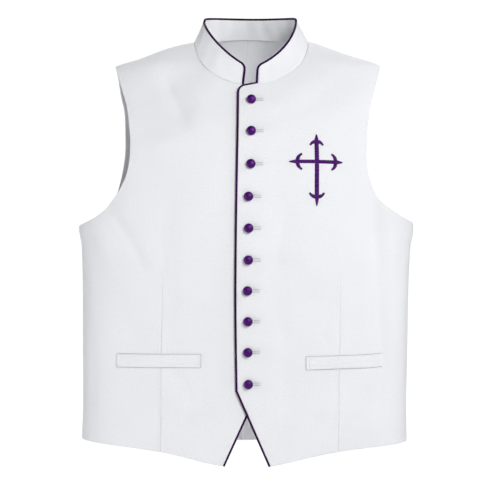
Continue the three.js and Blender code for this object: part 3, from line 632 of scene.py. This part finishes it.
def panelGrid(panel, edge, middle, side):
    inner = sharesWith(weaveGrid["across"], weaveGrid["nearSeam"])[None, :, None]
    outer = sharesWith(weaveGrid["across"], weaveGrid["nearSeam"])[None, 1:, None]
    grid = np.concatenate([
        edge[:, None] + (middle - edge)[:, None] * inner, middle[:, None] + (side - middle)[:, None] * outer,
    ], axis=1)
    hemX = skin(panel["face"], grid[0, :, 0], grid[0, :, 1])[:, 0]
    shift = hemAt[panel["face"]](hemX) - grid[0, :, 1]
    near = weaveGrid["nearEdge"]
    rowNumbers = np.concatenate([[0], near, np.arange(1, len(grid) - len(near))])
    left = np.maximum(0, 1 - rowNumbers / weaveGrid["hemRows"])
    grid[..., 1] += left[:, None] * shift
    return grid


# Distance of every point of a grid from a line
def distanceFrom(points, line):
    lengths = lengthsAlong(line)
    wanted = np.linspace(0, lengths[-1], max(2, int(lengths[-1] / 0.3)))
    dense = np.stack([np.interp(wanted, lengths, line[:, k]) for k in range(3)], -1)
    tree = KDTree(len(dense))
    for i, point in enumerate(dense):
        tree.insert(point, i)
    tree.balance()
    flat = points.reshape(-1, 3)
    return np.array([tree.find(point)[2] for point in flat]).reshape(points.shape[:-1])


# A folded or piped edge is half round. A sewn seam is a narrow valley, with the turned-in cloth as a low
# ridge beside it.
def roundedEdge(distance, radius):
    reach = np.clip(radius - distance, 0, radius)
    return radius - np.sqrt(radius**2 - reach**2)


def sewnSeam(distance, valley, ridge, ridgeAt):
    sunk = valley * np.exp(-((distance / cloth["seamValley"]) ** 2))
    return sunk - ridge * np.exp(-(((distance - ridgeAt) / (cloth["seamRidge"] * ridgeAt)) ** 2))


def meshFrom(name, points, faces, material, uv=None):
    mesh = bpy.data.meshes.new(name)
    mesh.from_pydata((points * mm).tolist(), [], faces)
    mesh.polygons.foreach_set("use_smooth", [True] * len(mesh.polygons))
    if uv is not None:
        corners = np.empty(len(mesh.loops), int)
        mesh.loops.foreach_get("vertex_index", corners)
        mesh.uv_layers.new(name="flatCut").data.foreach_set("uv", (uv[corners] * mm).ravel())
    mesh.materials.append(material)
    mesh.update()
    return addObject(name, mesh)


# A closed wall of cloth from an outer and an inner grid. Its flat cut has the outer one's lengths.
def clothWall(name, outer, inner, material, middleColumn, flip):
    rows, across = outer.shape[:2]
    count = rows * across
    number = np.arange(count).reshape(rows, across)
    quads = np.stack([number[:-1, :-1], number[:-1, 1:], number[1:, 1:], number[1:, :-1]], -1).reshape(-1, 4)
    rim = np.concatenate([number[0, :-1], number[:-1, -1], number[-1, :0:-1], number[:0:-1, 0]])
    after = np.roll(rim, -1)
    ends = np.stack([after, rim, rim + count, after + count], -1)
    faces = np.concatenate([quads, quads[:, ::-1] + count, ends])
    if flip:
        faces = faces[:, ::-1]
    across3 = np.linalg.norm(np.diff(outer, axis=1), axis=-1)
    u = np.concatenate([np.zeros((rows, 1)), np.cumsum(across3, axis=1)], axis=1)
    u -= u[:, middleColumn:middleColumn + 1]
    v = lengthsAlong(outer[:, middleColumn])[:, None] + 0 * u
    uv = np.stack([u, v], -1).reshape(-1, 2)
    points = np.concatenate([outer.reshape(-1, 3), inner.reshape(-1, 3)])
    return meshFrom(name, points, faces.tolist(), material, np.concatenate([uv, uv]))


def finish(piece, node):
    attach(piece, "root")
    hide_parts(node)
    return piece


# Each seam's valley, the ridge beside it and how far off that ridge is
seamShapes = {
    "side": (0.7, 0.3, 4), "middleBack": (0.7, 0.3, 4), "shoulder": (0.6, 0.3, 4), "neck": (0.5, 0.9, 2.2),
    "collar": (0.9, 0.7, 2.4),
}
for key, panel in panels.items():
    edge, middle, side, neckRow, armRow = spinesOf(panel)
    grid = panelGrid(panel, edge, middle, side)
    angle, z = grid[..., 0], grid[..., 1]
    flush = standing(panel, angle, z, np.zeros_like(z))
    half = cloth["wall"] / 2
    folded = [flush[0], flush[armRow:, -1]]
    sewn = {"side": flush[:armRow + 1, -1], "shoulder": flush[-1], "neck": flush[neckRow:, 0]}
    if panel["face"] == "front":
        folded.append(flush[:neckRow + 1, 0])
    else:
        sewn["middleBack"] = flush[:neckRow + 1, 0]
    sunk = np.maximum.reduce([roundedEdge(distanceFrom(flush, line), half) for line in folded])
    seams = [sewnSeam(distanceFrom(flush, line), *seamShapes[name]) for name, line in sewn.items()]
    valley, ridge = np.max(seams, axis=0), np.min(seams, axis=0)
    seam = np.where(valley < 0.02, ridge, valley)
    outer = standing(panel, angle, z, -np.maximum(sunk, seam))
    inner = standing(panel, angle, z, np.maximum(sunk, np.maximum(valley, 0)) - cloth["wall"])
    flip = (panel["side"] > 0) == (panel["face"] == "back")
    piece = clothWall(key, outer, inner, whiteSuiting, outer.shape[1] // 2, flip)
    finish(piece, panel["node"])
    neckX = skin(panel["face"], angle[neckRow:, 0], z[neckRow:, 0])[:, 0]
    panel.update(piece=piece, flush=flush, neckRow=neckRow, neckTurns=neckTurn(panel, neckX, z[neckRow:, 0]))
    print("panel", key, "rows", len(outer), "columns", outer.shape[1])


# The stand collar, sewn to the panels' own neckline points
collar = {
    "left": {
        "halfWidth": 77.6, "sideZ": 53.5, "cornerZ": 60.5, "frontDrop": 79.5, "dropPower": 1.6,
        "spread": 0.97, "flare": 5.3,
    },
    "right": {
        "halfWidth": 70.6, "sideZ": 48, "cornerZ": 58.5, "frontDrop": 74, "dropPower": 1.4, "spread": 1.1,
        "flare": 0,
    },
    "front": 63.6, "back": 47.6, "backZ": 61, "backPower": 7, "flareReach": 0.2, "cornerRadius": 6,
    "levels": 22, "flatHeight": 0.036,  # of its flat cut, in metres
    "bulge": -1.2,  # it hollows a little between the neckline and its edge
    "inset": 1.0,  # from the middle of the piping to the cloth
    "facing": 1.2,  # how far its inside reaches down over the neck seam
    "ripples": [(29, 0.5, 0.6), (47, 0.45, 2.0)],  # length, height and phase
}


def collarTop(shape, turned):
    side, ahead = np.maximum(np.sin(turned), 0), np.cos(turned)

    def bend(power):
        return np.maximum(1 - side**power, 0) ** (1 / power)

    behindZ = collar["backZ"] + (shape["cornerZ"] - collar["backZ"]) * side**2
    behind = shape["sideZ"] + (behindZ - shape["sideZ"]) * bend(collar["backPower"])
    depth = np.where(ahead > 0, collar["front"], collar["back"])
    z = np.where(ahead > 0, shape["sideZ"] - shape["frontDrop"] * bend(shape["dropPower"]), behind)
    flared = np.where(ahead > 0, shape["flare"] * np.exp(-((side / collar["flareReach"]) ** 2)), 0)
    return np.stack([shape["halfWidth"] * side ** shape["spread"] + flared, -depth * ahead, z], -1)


def collarHalf(front, back):
    ahead = front["flush"][front["neckRow"]:, 0]
    behind = back["flush"][back["neckRow"]:, 0][::-1][1:].copy()
    behind[-1, 0] = 0
    feet = np.concatenate([ahead, behind])
    turned = np.concatenate([front["neckTurns"], back["neckTurns"][::-1][1:]])
    tops = collarTop(collar[front["name"]], turned)
    tops[:, 0] *= front["side"]
    return feet, tops


leftFeet, leftTops = collarHalf(panels["frontLeft"], panels["backLeft"])
rightFeet, rightTops = collarHalf(panels["frontRight"], panels["backRight"])
feet = np.concatenate([leftFeet, rightFeet[:-1][::-1]])
tops = np.concatenate([leftTops, rightTops[:-1][::-1]])
height = np.linalg.norm(tops - feet, axis=1)
up = unit(tops - feet)
along = unit(np.gradient(tops, axis=0))
across = np.cross(along, up)
clearance = collar["inset"] / np.linalg.norm(across, axis=1)
outward = unit(across)
run = np.minimum(np.linalg.norm(tops - tops[0], axis=1), np.linalg.norm(tops - tops[-1], axis=1))
reach = np.clip(collar["cornerRadius"] - run, 0, collar["cornerRadius"])


def cornerCut(radius):
    return radius - np.sqrt(radius**2 - reach**2)


clothTop = height - clearance - cornerCut(collar["cornerRadius"])
levels = sharesWith(collar["levels"], [0.01, 0.025])
rise = clothTop[:, None] * levels
roundNeck = lengthsAlong(feet)
ripple = np.zeros_like(roundNeck)
for length, high, phase in collar["ripples"]:
    ripple += high * np.sin(2 * math.pi * roundNeck / length + phase)
bulge = (collar["bulge"] + ripple[:, None]) * np.sin(math.pi * np.clip(rise / height[:, None], 0, 1))
collarFlush = feet[:, None] + up[:, None] * rise[..., None] + outward[:, None] * bulge[..., None]
pipedLine = np.concatenate([collarFlush[0], collarFlush[1:-1, -1], collarFlush[-1, ::-1]])
pipedSink = roundedEdge(distanceFrom(collarFlush, pipedLine), cloth["collarWall"] / 2)
seamSink = sewnSeam(distanceFrom(collarFlush, collarFlush[:, 0]), *seamShapes["collar"])
outer = collarFlush - outward[:, None] * np.maximum(pipedSink, seamSink)[..., None]
inner = collarFlush - outward[:, None] * (cloth["collarWall"] - pipedSink)[..., None]
inner[:, 0] -= up * collar["facing"]
collarPiece = clothWall("standCollar", outer, inner, whiteSuiting, len(levels) // 2, True)
finish(collarPiece, "collar")
print("collar made, columns", len(feet))


# Cords and threads follow paths. One Geometry Nodes tree sweeps a round section along every path.
def sweptThreadTree():
    tree = bpy.data.node_groups.new("sweptThread", "GeometryNodeTree")
    face = tree.interface
    face.new_socket("Geometry", in_out="INPUT", socket_type="NodeSocketGeometry")
    for name, kind in (("Radius", "Float"), ("Sides", "Int"), ("Tone Seed", "Int"), ("Material", "Material")):
        face.new_socket(name, in_out="INPUT", socket_type="NodeSocket" + kind)
    face.new_socket("Geometry", in_out="OUTPUT", socket_type="NodeSocketGeometry")
    given = addNode(tree, "NodeGroupInput").outputs
    paths = addNode(tree, "GeometryNodeMeshToCurve", {"Mesh": given["Geometry"]})
    strand = addNode(tree, "GeometryNodeInputIndex")
    tone = addNode(
        tree, "FunctionNodeRandomValue",
        {"ID": strand.outputs[0], "Seed": given["Tone Seed"]}, data_type="FLOAT",
    )
    toned = addNode(
        tree, "GeometryNodeStoreNamedAttribute",
        {"Geometry": paths.outputs[0], "Name": "tone", "Value": tone.outputs[1]},
        data_type="FLOAT", domain="CURVE",
    )
    section = addNode(
        tree, "GeometryNodeCurvePrimitiveCircle", {"Resolution": given["Sides"], "Radius": given["Radius"]}
    )
    swept = addNode(
        tree, "GeometryNodeCurveToMesh",
        {"Curve": toned.outputs[0], "Profile Curve": section.outputs[0], "Fill Caps": True},
    )
    smooth = addNode(tree, "GeometryNodeSetShadeSmooth", {"Geometry": swept.outputs[0]})
    real = addNode(tree, "GeometryNodeRealizeInstances", {"Geometry": smooth.outputs[0]})
    coloured = addNode(
        tree, "GeometryNodeSetMaterial", {"Geometry": real.outputs[0], "Material": given["Material"]}
    )
    addNode(tree, "NodeGroupOutput", {0: coloured.outputs[0]})
    return tree


sweptThread = sweptThreadTree()


def sweep(name, paths, settings):
    points = np.concatenate(paths)
    starts = np.cumsum([0] + [len(path) for path in paths[:-1]])
    edges = [(start + i, start + i + 1) for start, path in zip(starts, paths) for i in range(len(path) - 1)]
    mesh = bpy.data.meshes.new(name + "Paths")
    mesh.from_pydata((points * mm).tolist(), edges, [])
    piece = addObject(name, mesh)
    modifier = piece.modifiers.new("sweptThread", "NODES")
    modifier.node_group = sweptThread
    values = {
        "Radius": settings["radius"] * mm, "Sides": settings["sides"],
        "Tone Seed": settings.get("toneSeed", 0), "Material": settings["material"],
    }
    for socket in sweptThread.interface.items_tree:
        if socket.item_type == "SOCKET" and socket.in_out == "INPUT" and socket.name in values:
            modifier[socket.identifier] = values[socket.name]
    ready = piece.evaluated_get(bpy.context.evaluated_depsgraph_get())
    plain = bpy.data.meshes.new_from_object(ready)
    piece.modifiers.clear()
    piece.data = plain
    plain.name = name
    bpy.data.meshes.remove(mesh)
    return piece


# Piping: a cord in a folded strip, along the edges of both fronts and of the collar
piping = {
    "radius": cloth["pipingRadius"], "sides": 14, "material": purplePiping, "rows": [28, 104, 20, 12],
    "stepEnd": 0.9, "startRows": (0.02, 1, 12),
}


def frontPiping(panel):
    edges = edgeCurves(steps[panel["name"]])
    curves = [edges["slant"], edges["long"], edges["corner"], *cutAt(edges["step"], 0, piping["stepEnd"])]
    path = spine("front", curves, piping["rows"])
    return standing(panel, path[:, 0], path[:, 1], np.full(len(path), -cloth["wall"] / 2))


def collarPipingPath():
    middle = -cloth["collarWall"] / 2
    edge = height - cornerCut(collar["cornerRadius"] + collar["inset"])
    over = feet + up * edge[:, None] + outward * middle
    shares = np.linspace(*piping["startRows"])[:, None]
    starts = []
    for column, way in ((0, -1), (-1, 1)):
        foot = feet[column]
        top = foot + up[column] * clothTop[column]
        beside = along[column] * way * collar["inset"]
        starts.append(foot + (top - foot) * shares + beside + outward[column] * middle)
    return np.concatenate([starts[0], over, starts[1][::-1]])


pipingPaths = {
    "left_front": frontPiping(panels["frontLeft"]), "right_front": frontPiping(panels["frontRight"]),
    "collar": collarPipingPath(),
}
for name, path in pipingPaths.items():
    piece = sweep("piping" + name.title().replace("_", ""), [path], piping)
    finish(piece, "piping_" + name)
print("piping swept")


# Covered buttons: satin gathered under a dome, on a short thread shank
button = {
    "radius": 7.4, "height": 7.6, "segments": 48, "above": 0.15, "turnEach": 0.7,
    # the gathers, how deep they are, and between which shares of the height they are full and faint
    "gathers": 14, "gatherDepth": 0.16, "gatherFrom": 0.1, "gatherFull": 0.3, "gatherTo": 0.45, "faint": 0.4,
    "gatherAcross": 0.5,
    "upright": 0.6,  # how far its shank lets it tip from the cloth's slope to face straight ahead
    "places": [
        (3.4, -79.8), (2.9, -129.6), (2.3, -181.1), (-1.1, -231.4), (-0.6, -280.1),
        (-0.7, -329), (-1.4, -376.3), (-0.4, -423.7), (0, -471.3), (1.3, -520.4),
    ],
}
# Across and up, as shares of the radius and the height
buttonProfile = [
    (0.0, 0.02), (0.3, 0.02), (0.34, 0.14), (0.6, 0.15), (0.86, 0.19), (0.96, 0.27), (1.0, 0.38),
    (0.985, 0.5), (0.93, 0.63), (0.83, 0.75), (0.69, 0.85), (0.52, 0.925), (0.34, 0.97), (0.16, 0.995),
    (0.0, 1.0),
]


def buttonShape():
    spin = np.linspace(0, 2 * math.pi, button["segments"], endpoint=False)
    points, faces = [(0, 0, buttonProfile[0][1] * button["height"])], []
    for across, high in buttonProfile[1:-1]:
        gathered = button["gatherFrom"] < high < button["gatherTo"] and across > button["gatherAcross"]
        strength = 1 if high < button["gatherFull"] else button["faint"]
        gather = button["gatherDepth"] * np.sin(button["gathers"] * spin) * gathered
        radius = across * button["radius"] + gather * strength
        level = np.full_like(spin, high * button["height"])
        points += list(zip(radius * np.cos(spin), radius * np.sin(spin), level))
    points.append((0, 0, buttonProfile[-1][1] * button["height"]))
    ringCount, n = len(buttonProfile) - 2, button["segments"]
    for i in range(n):
        j = (i + 1) % n
        faces.append((0, 1 + j, 1 + i))
        for k in range(ringCount - 1):
            a, b = 1 + k * n, 1 + (k + 1) * n
            faces.append((a + i, a + j, b + j, b + i))
        top = 1 + (ringCount - 1) * n
        faces.append((top + i, top + j, len(points) - 1))
    return np.array(points), faces


def normalAt(panel, x, z):
    x, z = np.array([x], float), np.array([z], float)
    normal = skinNormal(panel["face"], angleOf(panel["face"], x, z), z)[0]
    return Vector((normal[0] * panel["side"], normal[1], normal[2]))


buttonPoints, buttonFaces = buttonShape()
for i, (x, z) in enumerate(button["places"]):
    faces = normalAt(panels["frontLeft"], x, z).lerp(Vector((0, -1, 0)), button["upright"])
    turned = faces.to_track_quat("Z", "Y").to_matrix() @ Matrix.Rotation(i * button["turnEach"], 3, "Z")
    base = onPanel(panels["frontLeft"], x, z, button["above"])
    placed = buttonPoints @ np.array(turned).T + base
    piece = meshFrom(f"coveredButton{i + 1:02d}", placed, buttonFaces, purpleSatin)
    finish(piece, f"button_{i + 1:02d}")
print("buttons made", len(button["places"]))


# Strands of thread laid over the cloth: each rises from one end, lies over its padding and goes down again
strand = {"fullness": 0.6, "clear": 0.05}


def strandOver(panel, start, end, lift, points=6):
    t = np.linspace(0, 1, points)
    x = start[0] + (end[0] - start[0]) * t
    z = start[1] + (end[1] - start[1]) * t
    arch = lift * np.sin(math.pi * t) ** strand["fullness"] + strand["clear"]
    return onPanel(panel, x, z, arch)


# Worked buttonholes: low upright stitches between two rows of gimp, and a bar across the far end
# The gimp rows are grey: painted shade, the shadow along each lip's outer edge.
hole = {
    "from": 5.5, "to": 19.3, "above": 2.0, "below": -1.6, "pitch": 0.5, "lift": 0.18, "gimpLift": 0.25,
    "slit": 0.1, "toGimp": 0.3, "gimpPoints": 12,
    "barHeight": 4.0, "barStitches": 3, "barPitch": 0.4, "barLift": 0.15,
}


def buttonholeRows():
    panel = panels["frontLeft"]
    stitches, gimp = [], []
    for x, z in button["places"]:
        low, high = z + hole["below"], z + hole["above"]
        for along in x + np.arange(hole["from"], hole["to"], hole["pitch"]):
            sides = (low + hole["toGimp"], z - hole["slit"]), (z + hole["slit"], high - hole["toGimp"])
            for start, end in sides:
                stitches.append(strandOver(panel, (along, start), (along, end), hole["lift"]))
        for i in range(hole["barStitches"]):
            across, half = x + hole["to"] + i * hole["barPitch"], hole["barHeight"] / 2
            ends = (across, z - half), (across, z + half)
            stitches.append(strandOver(panel, *ends, hole["lift"] + hole["barLift"]))
        for row in (low, high):
            ends = (x + hole["from"], row), (x + hole["to"], row)
            gimp.append(strandOver(panel, *ends, hole["gimpLift"], points=hole["gimpPoints"]))
    return stitches, gimp


threads = {
    "buttonholes": {"radius": 0.27, "sides": 6, "toneSeed": 4, "material": whiteTwist},
    # The two grey threads below draw painted shade: lines along the buttonhole lips and round the welts.
    "gimp": {"radius": 0.22, "sides": 8, "toneSeed": 5, "material": gimpPaintedShade},
    "cross": {"radius": 0.26, "sides": 6, "toneSeed": 7, "material": purpleRayon},
    "welts": {"radius": 0.2, "sides": 6, "toneSeed": 2, "material": whiteTwist},
    "weltSeamShadeLines": {"radius": 0.3, "sides": 8, "toneSeed": 3, "material": gimpPaintedShade},
}


def sewOn(name, paths, settings):
    piece = sweep(name, paths, settings)
    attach(piece, "root")
    return piece


stitchRows, gimpShadeRows = buttonholeRows()
buttonholePieces = [
    sewOn("buttonholeStitches", stitchRows, threads["buttonholes"]),
    # The grey gimp rows are painted shade lines beside the stitches.
    sewOn("buttonholeGimpPaintedShade", gimpShadeRows, threads["gimp"]),
]
print("buttonholes worked")


# Pocket welts: folded strips with a narrow jet along the top and at both ends, held by a few stitches
welt = {
    "topZ": -475.4, "height": 20.4, "thickness": 1.9, "gap": 0.1, "across": 60, "up": 16, "seamSpace": 0.3,
    "jet": {"top": 2.7, "ends": 4.2, "depth": 0.8, "width": 0.55},
    "pulls": {"height": 0.2, "rows": 2.6, "sway": 0.35, "swayTurns": 7}, "crown": 0.3, "seamLift": 0.15,
    "nearJet": [-1, -0.4, 0, 0.4, 1], "nearEnd": [0.003, 0.008], "nearTop": [0.02, 0.05],
    "stitches": {"rows": (0.12, 0.88, 7), "outside": 0.5, "inside": 1.6, "slope": 0.4, "lift": 0.45},
}
welts = {
    "left": {"inner": 90.5, "outer": 214.5, "rise": 4},
    "right": {"inner": 72.5, "outer": 201.5, "rise": -1},
}


def weltPlace(place, along, up):
    x = place["inner"] + (place["outer"] - place["inner"]) * along
    return x, welt["topZ"] - welt["height"] * (1 - up) + place["rise"] * (along - 0.5)


def weltStrip(panel, place):
    jet, pulls, half = welt["jet"], welt["pulls"], welt["thickness"] / 2
    length = place["outer"] - place["inner"]
    nearJet = np.array(welt["nearJet"])
    endShares = np.concatenate([welt["nearEnd"], (jet["ends"] + nearJet) / length])
    topShares = np.concatenate([welt["nearTop"], (jet["top"] + nearJet) / welt["height"]])
    along, upward = sharesWith(welt["across"], endShares)[None, :], sharesWith(welt["up"], topShares)[:, None]
    x, z = weltPlace(place, along, upward)
    toEnd = np.minimum(along, 1 - along) * length
    toEdge = np.minimum(upward, 1 - upward) * welt["height"]
    rounded = np.maximum(roundedEdge(toEnd + 0 * toEdge, half), roundedEdge(toEdge + 0 * toEnd, half))
    toTop = (1 - upward) * welt["height"]
    fromJet = np.minimum(np.abs(toTop - jet["top"]) + 0 * toEnd, np.abs(toEnd - jet["ends"]) + 0 * toTop)
    withinJet = (toEnd > jet["ends"] - 1) * (toTop > jet["top"] - 1)
    groove = jet["depth"] * np.exp(-((fromJet / jet["width"]) ** 2)) * withinJet
    sway = pulls["sway"] * np.sin(pulls["swayTurns"] * along)
    pulled = pulls["height"] * np.sin(2 * math.pi * (pulls["rows"] * upward + sway))
    crown = (welt["crown"] + pulled) * np.sin(math.pi * upward)
    outer = onPanel(panel, x, z, welt["gap"] + welt["thickness"] - rounded - groove + crown)
    inner = onPanel(panel, x, z, welt["gap"] + rounded)
    return outer, inner


def weltStitches(panel, place):
    paths, sewing = [], welt["stitches"]
    for share, way in ((0, 1), (1, -1)):
        for up in np.linspace(*sewing["rows"]):
            x, z = weltPlace(place, share, up)
            start, end = (x - sewing["outside"] * way, z), (x + sewing["inside"] * way, z + sewing["slope"])
            paths.append(strandOver(panel, start, end, welt["thickness"] + sewing["lift"]))
    return paths


# The seam that shows as a thin line round a welt: a grey thread whose grey is painted shade, the seam's
# shadow
def weltSeam(panel, place):
    corners = [weltPlace(place, along, up) for along, up in ((0, 0), (0, 1), (1, 1), (1, 0), (0, 0))]
    away = np.array([(-1, -1), (-1, 1), (1, 1), (1, -1), (-1, -1)]) * welt["seamSpace"]
    corners = np.array(corners) + away
    sides = [np.linspace(a, b, 40)[:-1] for a, b in zip(corners[:-1], corners[1:])]
    line = np.concatenate([*sides, corners[-1:]])
    return onPanel(panel, line[:, 0], line[:, 1], welt["seamLift"])


stitches, seamShadeLines = [], []
for name, place in welts.items():
    panel = panels["front" + name.capitalize()]
    outer, inner = weltStrip(panel, place)
    piece = clothWall("pocketWelt" + name.capitalize(), outer, inner, whiteSuiting, 5, panel["side"] < 0)
    finish(piece, "pocket_welt_" + name)
    stitches += weltStitches(panel, place)
    seamShadeLines.append(weltSeam(panel, place))
sewOn("weltStitches", stitches, threads["welts"])
# Grey thread lines round the welts: painted shade of their seams.
sewOn("weltSeamShadeLines", seamShadeLines, threads["weltSeamShadeLines"])
print("welts made")


# The cross, in satin stitch. An arm ends in a spike and a crescent, with blunt horns that turn back.
# A short strand lies lower than one that is fullLength long.
cross = {
    "x": 104.5, "z": -176.4, "pitch": 0.4, "lift": 1.3, "lowest": 0.35, "fullLength": 7, "slip": 0.05,
    "points": 7, "seed": 11,
}
arms = [
    {"turn": 0, "root": 2.6, "length": 41.2, "halfWidth": 2.7, "spike": 8.8, "horn": 12, "setBack": 9.4},
    {"turn": 90, "root": -2.6, "length": 43.2, "halfWidth": 3.3, "spike": 8.7, "horn": 9.8, "setBack": 8.8},
    {"turn": 180, "root": 2.6, "length": 43, "halfWidth": 2.7, "spike": 10.2, "horn": 12, "setBack": 9.8},
    {"turn": 270, "root": 2.6, "length": 68.2, "halfWidth": 3.3, "spike": 11.2, "horn": 11.2, "setBack": 9},
]
crescent = {
    "waist": 5.8, "bluntness": 1.4, "spikeWidth": 2.5, "tipWidth": 0.55, "taper": 0.8, "strands": 38,
    # where its edges start, as a share of the arm's half width, and bend, as shares of the horn's reach
    "innerStart": 0.6, "innerBend": 0.7, "outerBend": 0.82,
}


def armStrands(arm):
    crown, half = arm["length"] - arm["spike"], arm["halfWidth"]
    waist, blunt = crown - crescent["waist"], crescent["bluntness"]
    hornX, hornY = crown - arm["setBack"], arm["horn"]
    strands = [((u, -half), (u, half)) for u in np.arange(arm["root"], crown, cross["pitch"])]
    for u in np.arange(crown, arm["length"], cross["pitch"]):
        narrowed = (1 - (u - crown) / arm["spike"]) ** crescent["taper"]
        side = crescent["tipWidth"] + crescent["spikeWidth"] * narrowed
        strands.append(((u, -side), (u, side)))
    q = np.linspace(0, 1, crescent["strands"])
    innerStart, innerBend = half * crescent["innerStart"], hornY * crescent["innerBend"]
    inside = bendThrough((waist, innerStart), (waist, innerBend), (hornX - 0.2, hornY - blunt))(q)
    outerBend = crown + 0.4, hornY * crescent["outerBend"]
    outside = bendThrough((crown + 0.2, 0.5), outerBend, (hornX + 0.6, hornY + blunt))(q)
    for way in (1, -1):
        strands += [((a[0], a[1] * way), (b[0], b[1] * way)) for a, b in zip(inside, outside)]
    return strands


def crossPaths():
    shake = np.random.default_rng(cross["seed"])
    paths = []
    for arm in arms:
        turned = math.radians(arm["turn"])
        c, s = round(math.cos(turned)), round(math.sin(turned))
        for start, end in armStrands(arm):
            size = math.hypot(end[0] - start[0], end[1] - start[1])
            slip = shake.normal(0, cross["slip"], 4)
            slipped = (start[0] + slip[0], start[1] + slip[1]), (end[0] + slip[2], end[1] + slip[3])
            lift = cross["lift"] * min(1, cross["lowest"] + size / cross["fullLength"])
            ends = [(cross["x"] + u * c - v * s, cross["z"] + u * s + v * c) for u, v in slipped]
            paths.append(strandOver(panels["frontLeft"], *ends, lift, points=cross["points"]))
    return paths


crossPiece = sweep("chestCrossSatinStitch", crossPaths(), threads["cross"])
finish(crossPiece, "chest_cross")
print("cross stitched")


# The stage: a pale floor far below, where the wearer would stand, and soft studio light
stage = {
    "floorZ": -1.4, "floorRadius": 4.5, "floorSides": 64, "grain": {"Scale": 6, "Detail": 4},
    "sky": 0.07, "seenSky": 1.05, "aim": (0, 0, -0.3), "away": 3.2, "size": 1.5,
    # each light's turn from straight ahead to the wearer's left, its height in degrees, and its watts
    "lights": {
        "keyLight": (25, 25, 68), "rimLight": (75, 30, 23), "sideLight": (-75, 0, 28),
        "lowLight": (-60, -12, 17), "backLight": (180, 50, 45),
    },
}


def softLight(name, turn, height, power):
    light = bpy.data.lights.new(name, "AREA")
    light.shape = "DISK"
    light.size = stage["size"]
    light.energy = power
    turn, height = math.radians(turn), math.radians(height)
    ahead = Vector((math.cos(height) * math.sin(turn), -math.cos(height) * math.cos(turn), math.sin(height)))
    lamp = addObject(name, light)
    lamp.location = Vector(stage["aim"]) + ahead * stage["away"]
    lamp.rotation_euler = ahead.to_track_quat("Z", "Y").to_euler()


def floorMaterial():
    material, tree = newMaterial("white_painted_floor", "#f8f8f8")
    grain = addNode(
        tree, "ShaderNodeTexNoise",
        {"Vector": addNode(tree, "ShaderNodeTexCoord").outputs["Object"], **stage["grain"]},
    )
    tone = addNode(tree, "ShaderNodeMix", {"Factor": grain.outputs["Fac"]}, data_type="RGBA")
    tone.inputs["A"].default_value = linear("#fbfbfb")
    tone.inputs["B"].default_value = linear("#f7f7f7")
    shader = addNode(
        tree, "ShaderNodeBsdfPrincipled", {"Base Color": tone.outputs["Result"], "Roughness": 0.9}
    )
    addNode(tree, "ShaderNodeOutputMaterial", {"Surface": shader.outputs["BSDF"]})
    return material


spin = np.linspace(0, 2 * math.pi, stage["floorSides"], endpoint=False)
rim = np.stack([np.cos(spin), np.sin(spin), 0 * spin], -1) * stage["floorRadius"] / mm
rim[:, 2] = stage["floorZ"] / mm
floor = meshFrom("floor", rim, [tuple(range(len(rim)))], floorMaterial())

world = bpy.data.worlds.new("studio")
bpy.context.scene.world = world
world.use_nodes = True
sky = world.node_tree
sky.nodes.clear()
lit = addNode(sky, "ShaderNodeBackground", {"Color": linear("#fbfcff"), "Strength": stage["sky"]})
seen = addNode(sky, "ShaderNodeBackground", {"Color": (1, 1, 1, 1), "Strength": stage["seenSky"]})
straight = addNode(sky, "ShaderNodeLightPath").outputs["Is Camera Ray"]
both = addNode(sky, "ShaderNodeMixShader", {0: straight, 1: lit.outputs[0], 2: seen.outputs[0]})
addNode(sky, "ShaderNodeOutputWorld", {"Surface": both.outputs[0]})
for name, (turn, height, power) in stage["lights"].items():
    softLight(name, turn, height, power)
bpy.context.scene.view_settings.view_transform = "Standard"
print("stage lit")

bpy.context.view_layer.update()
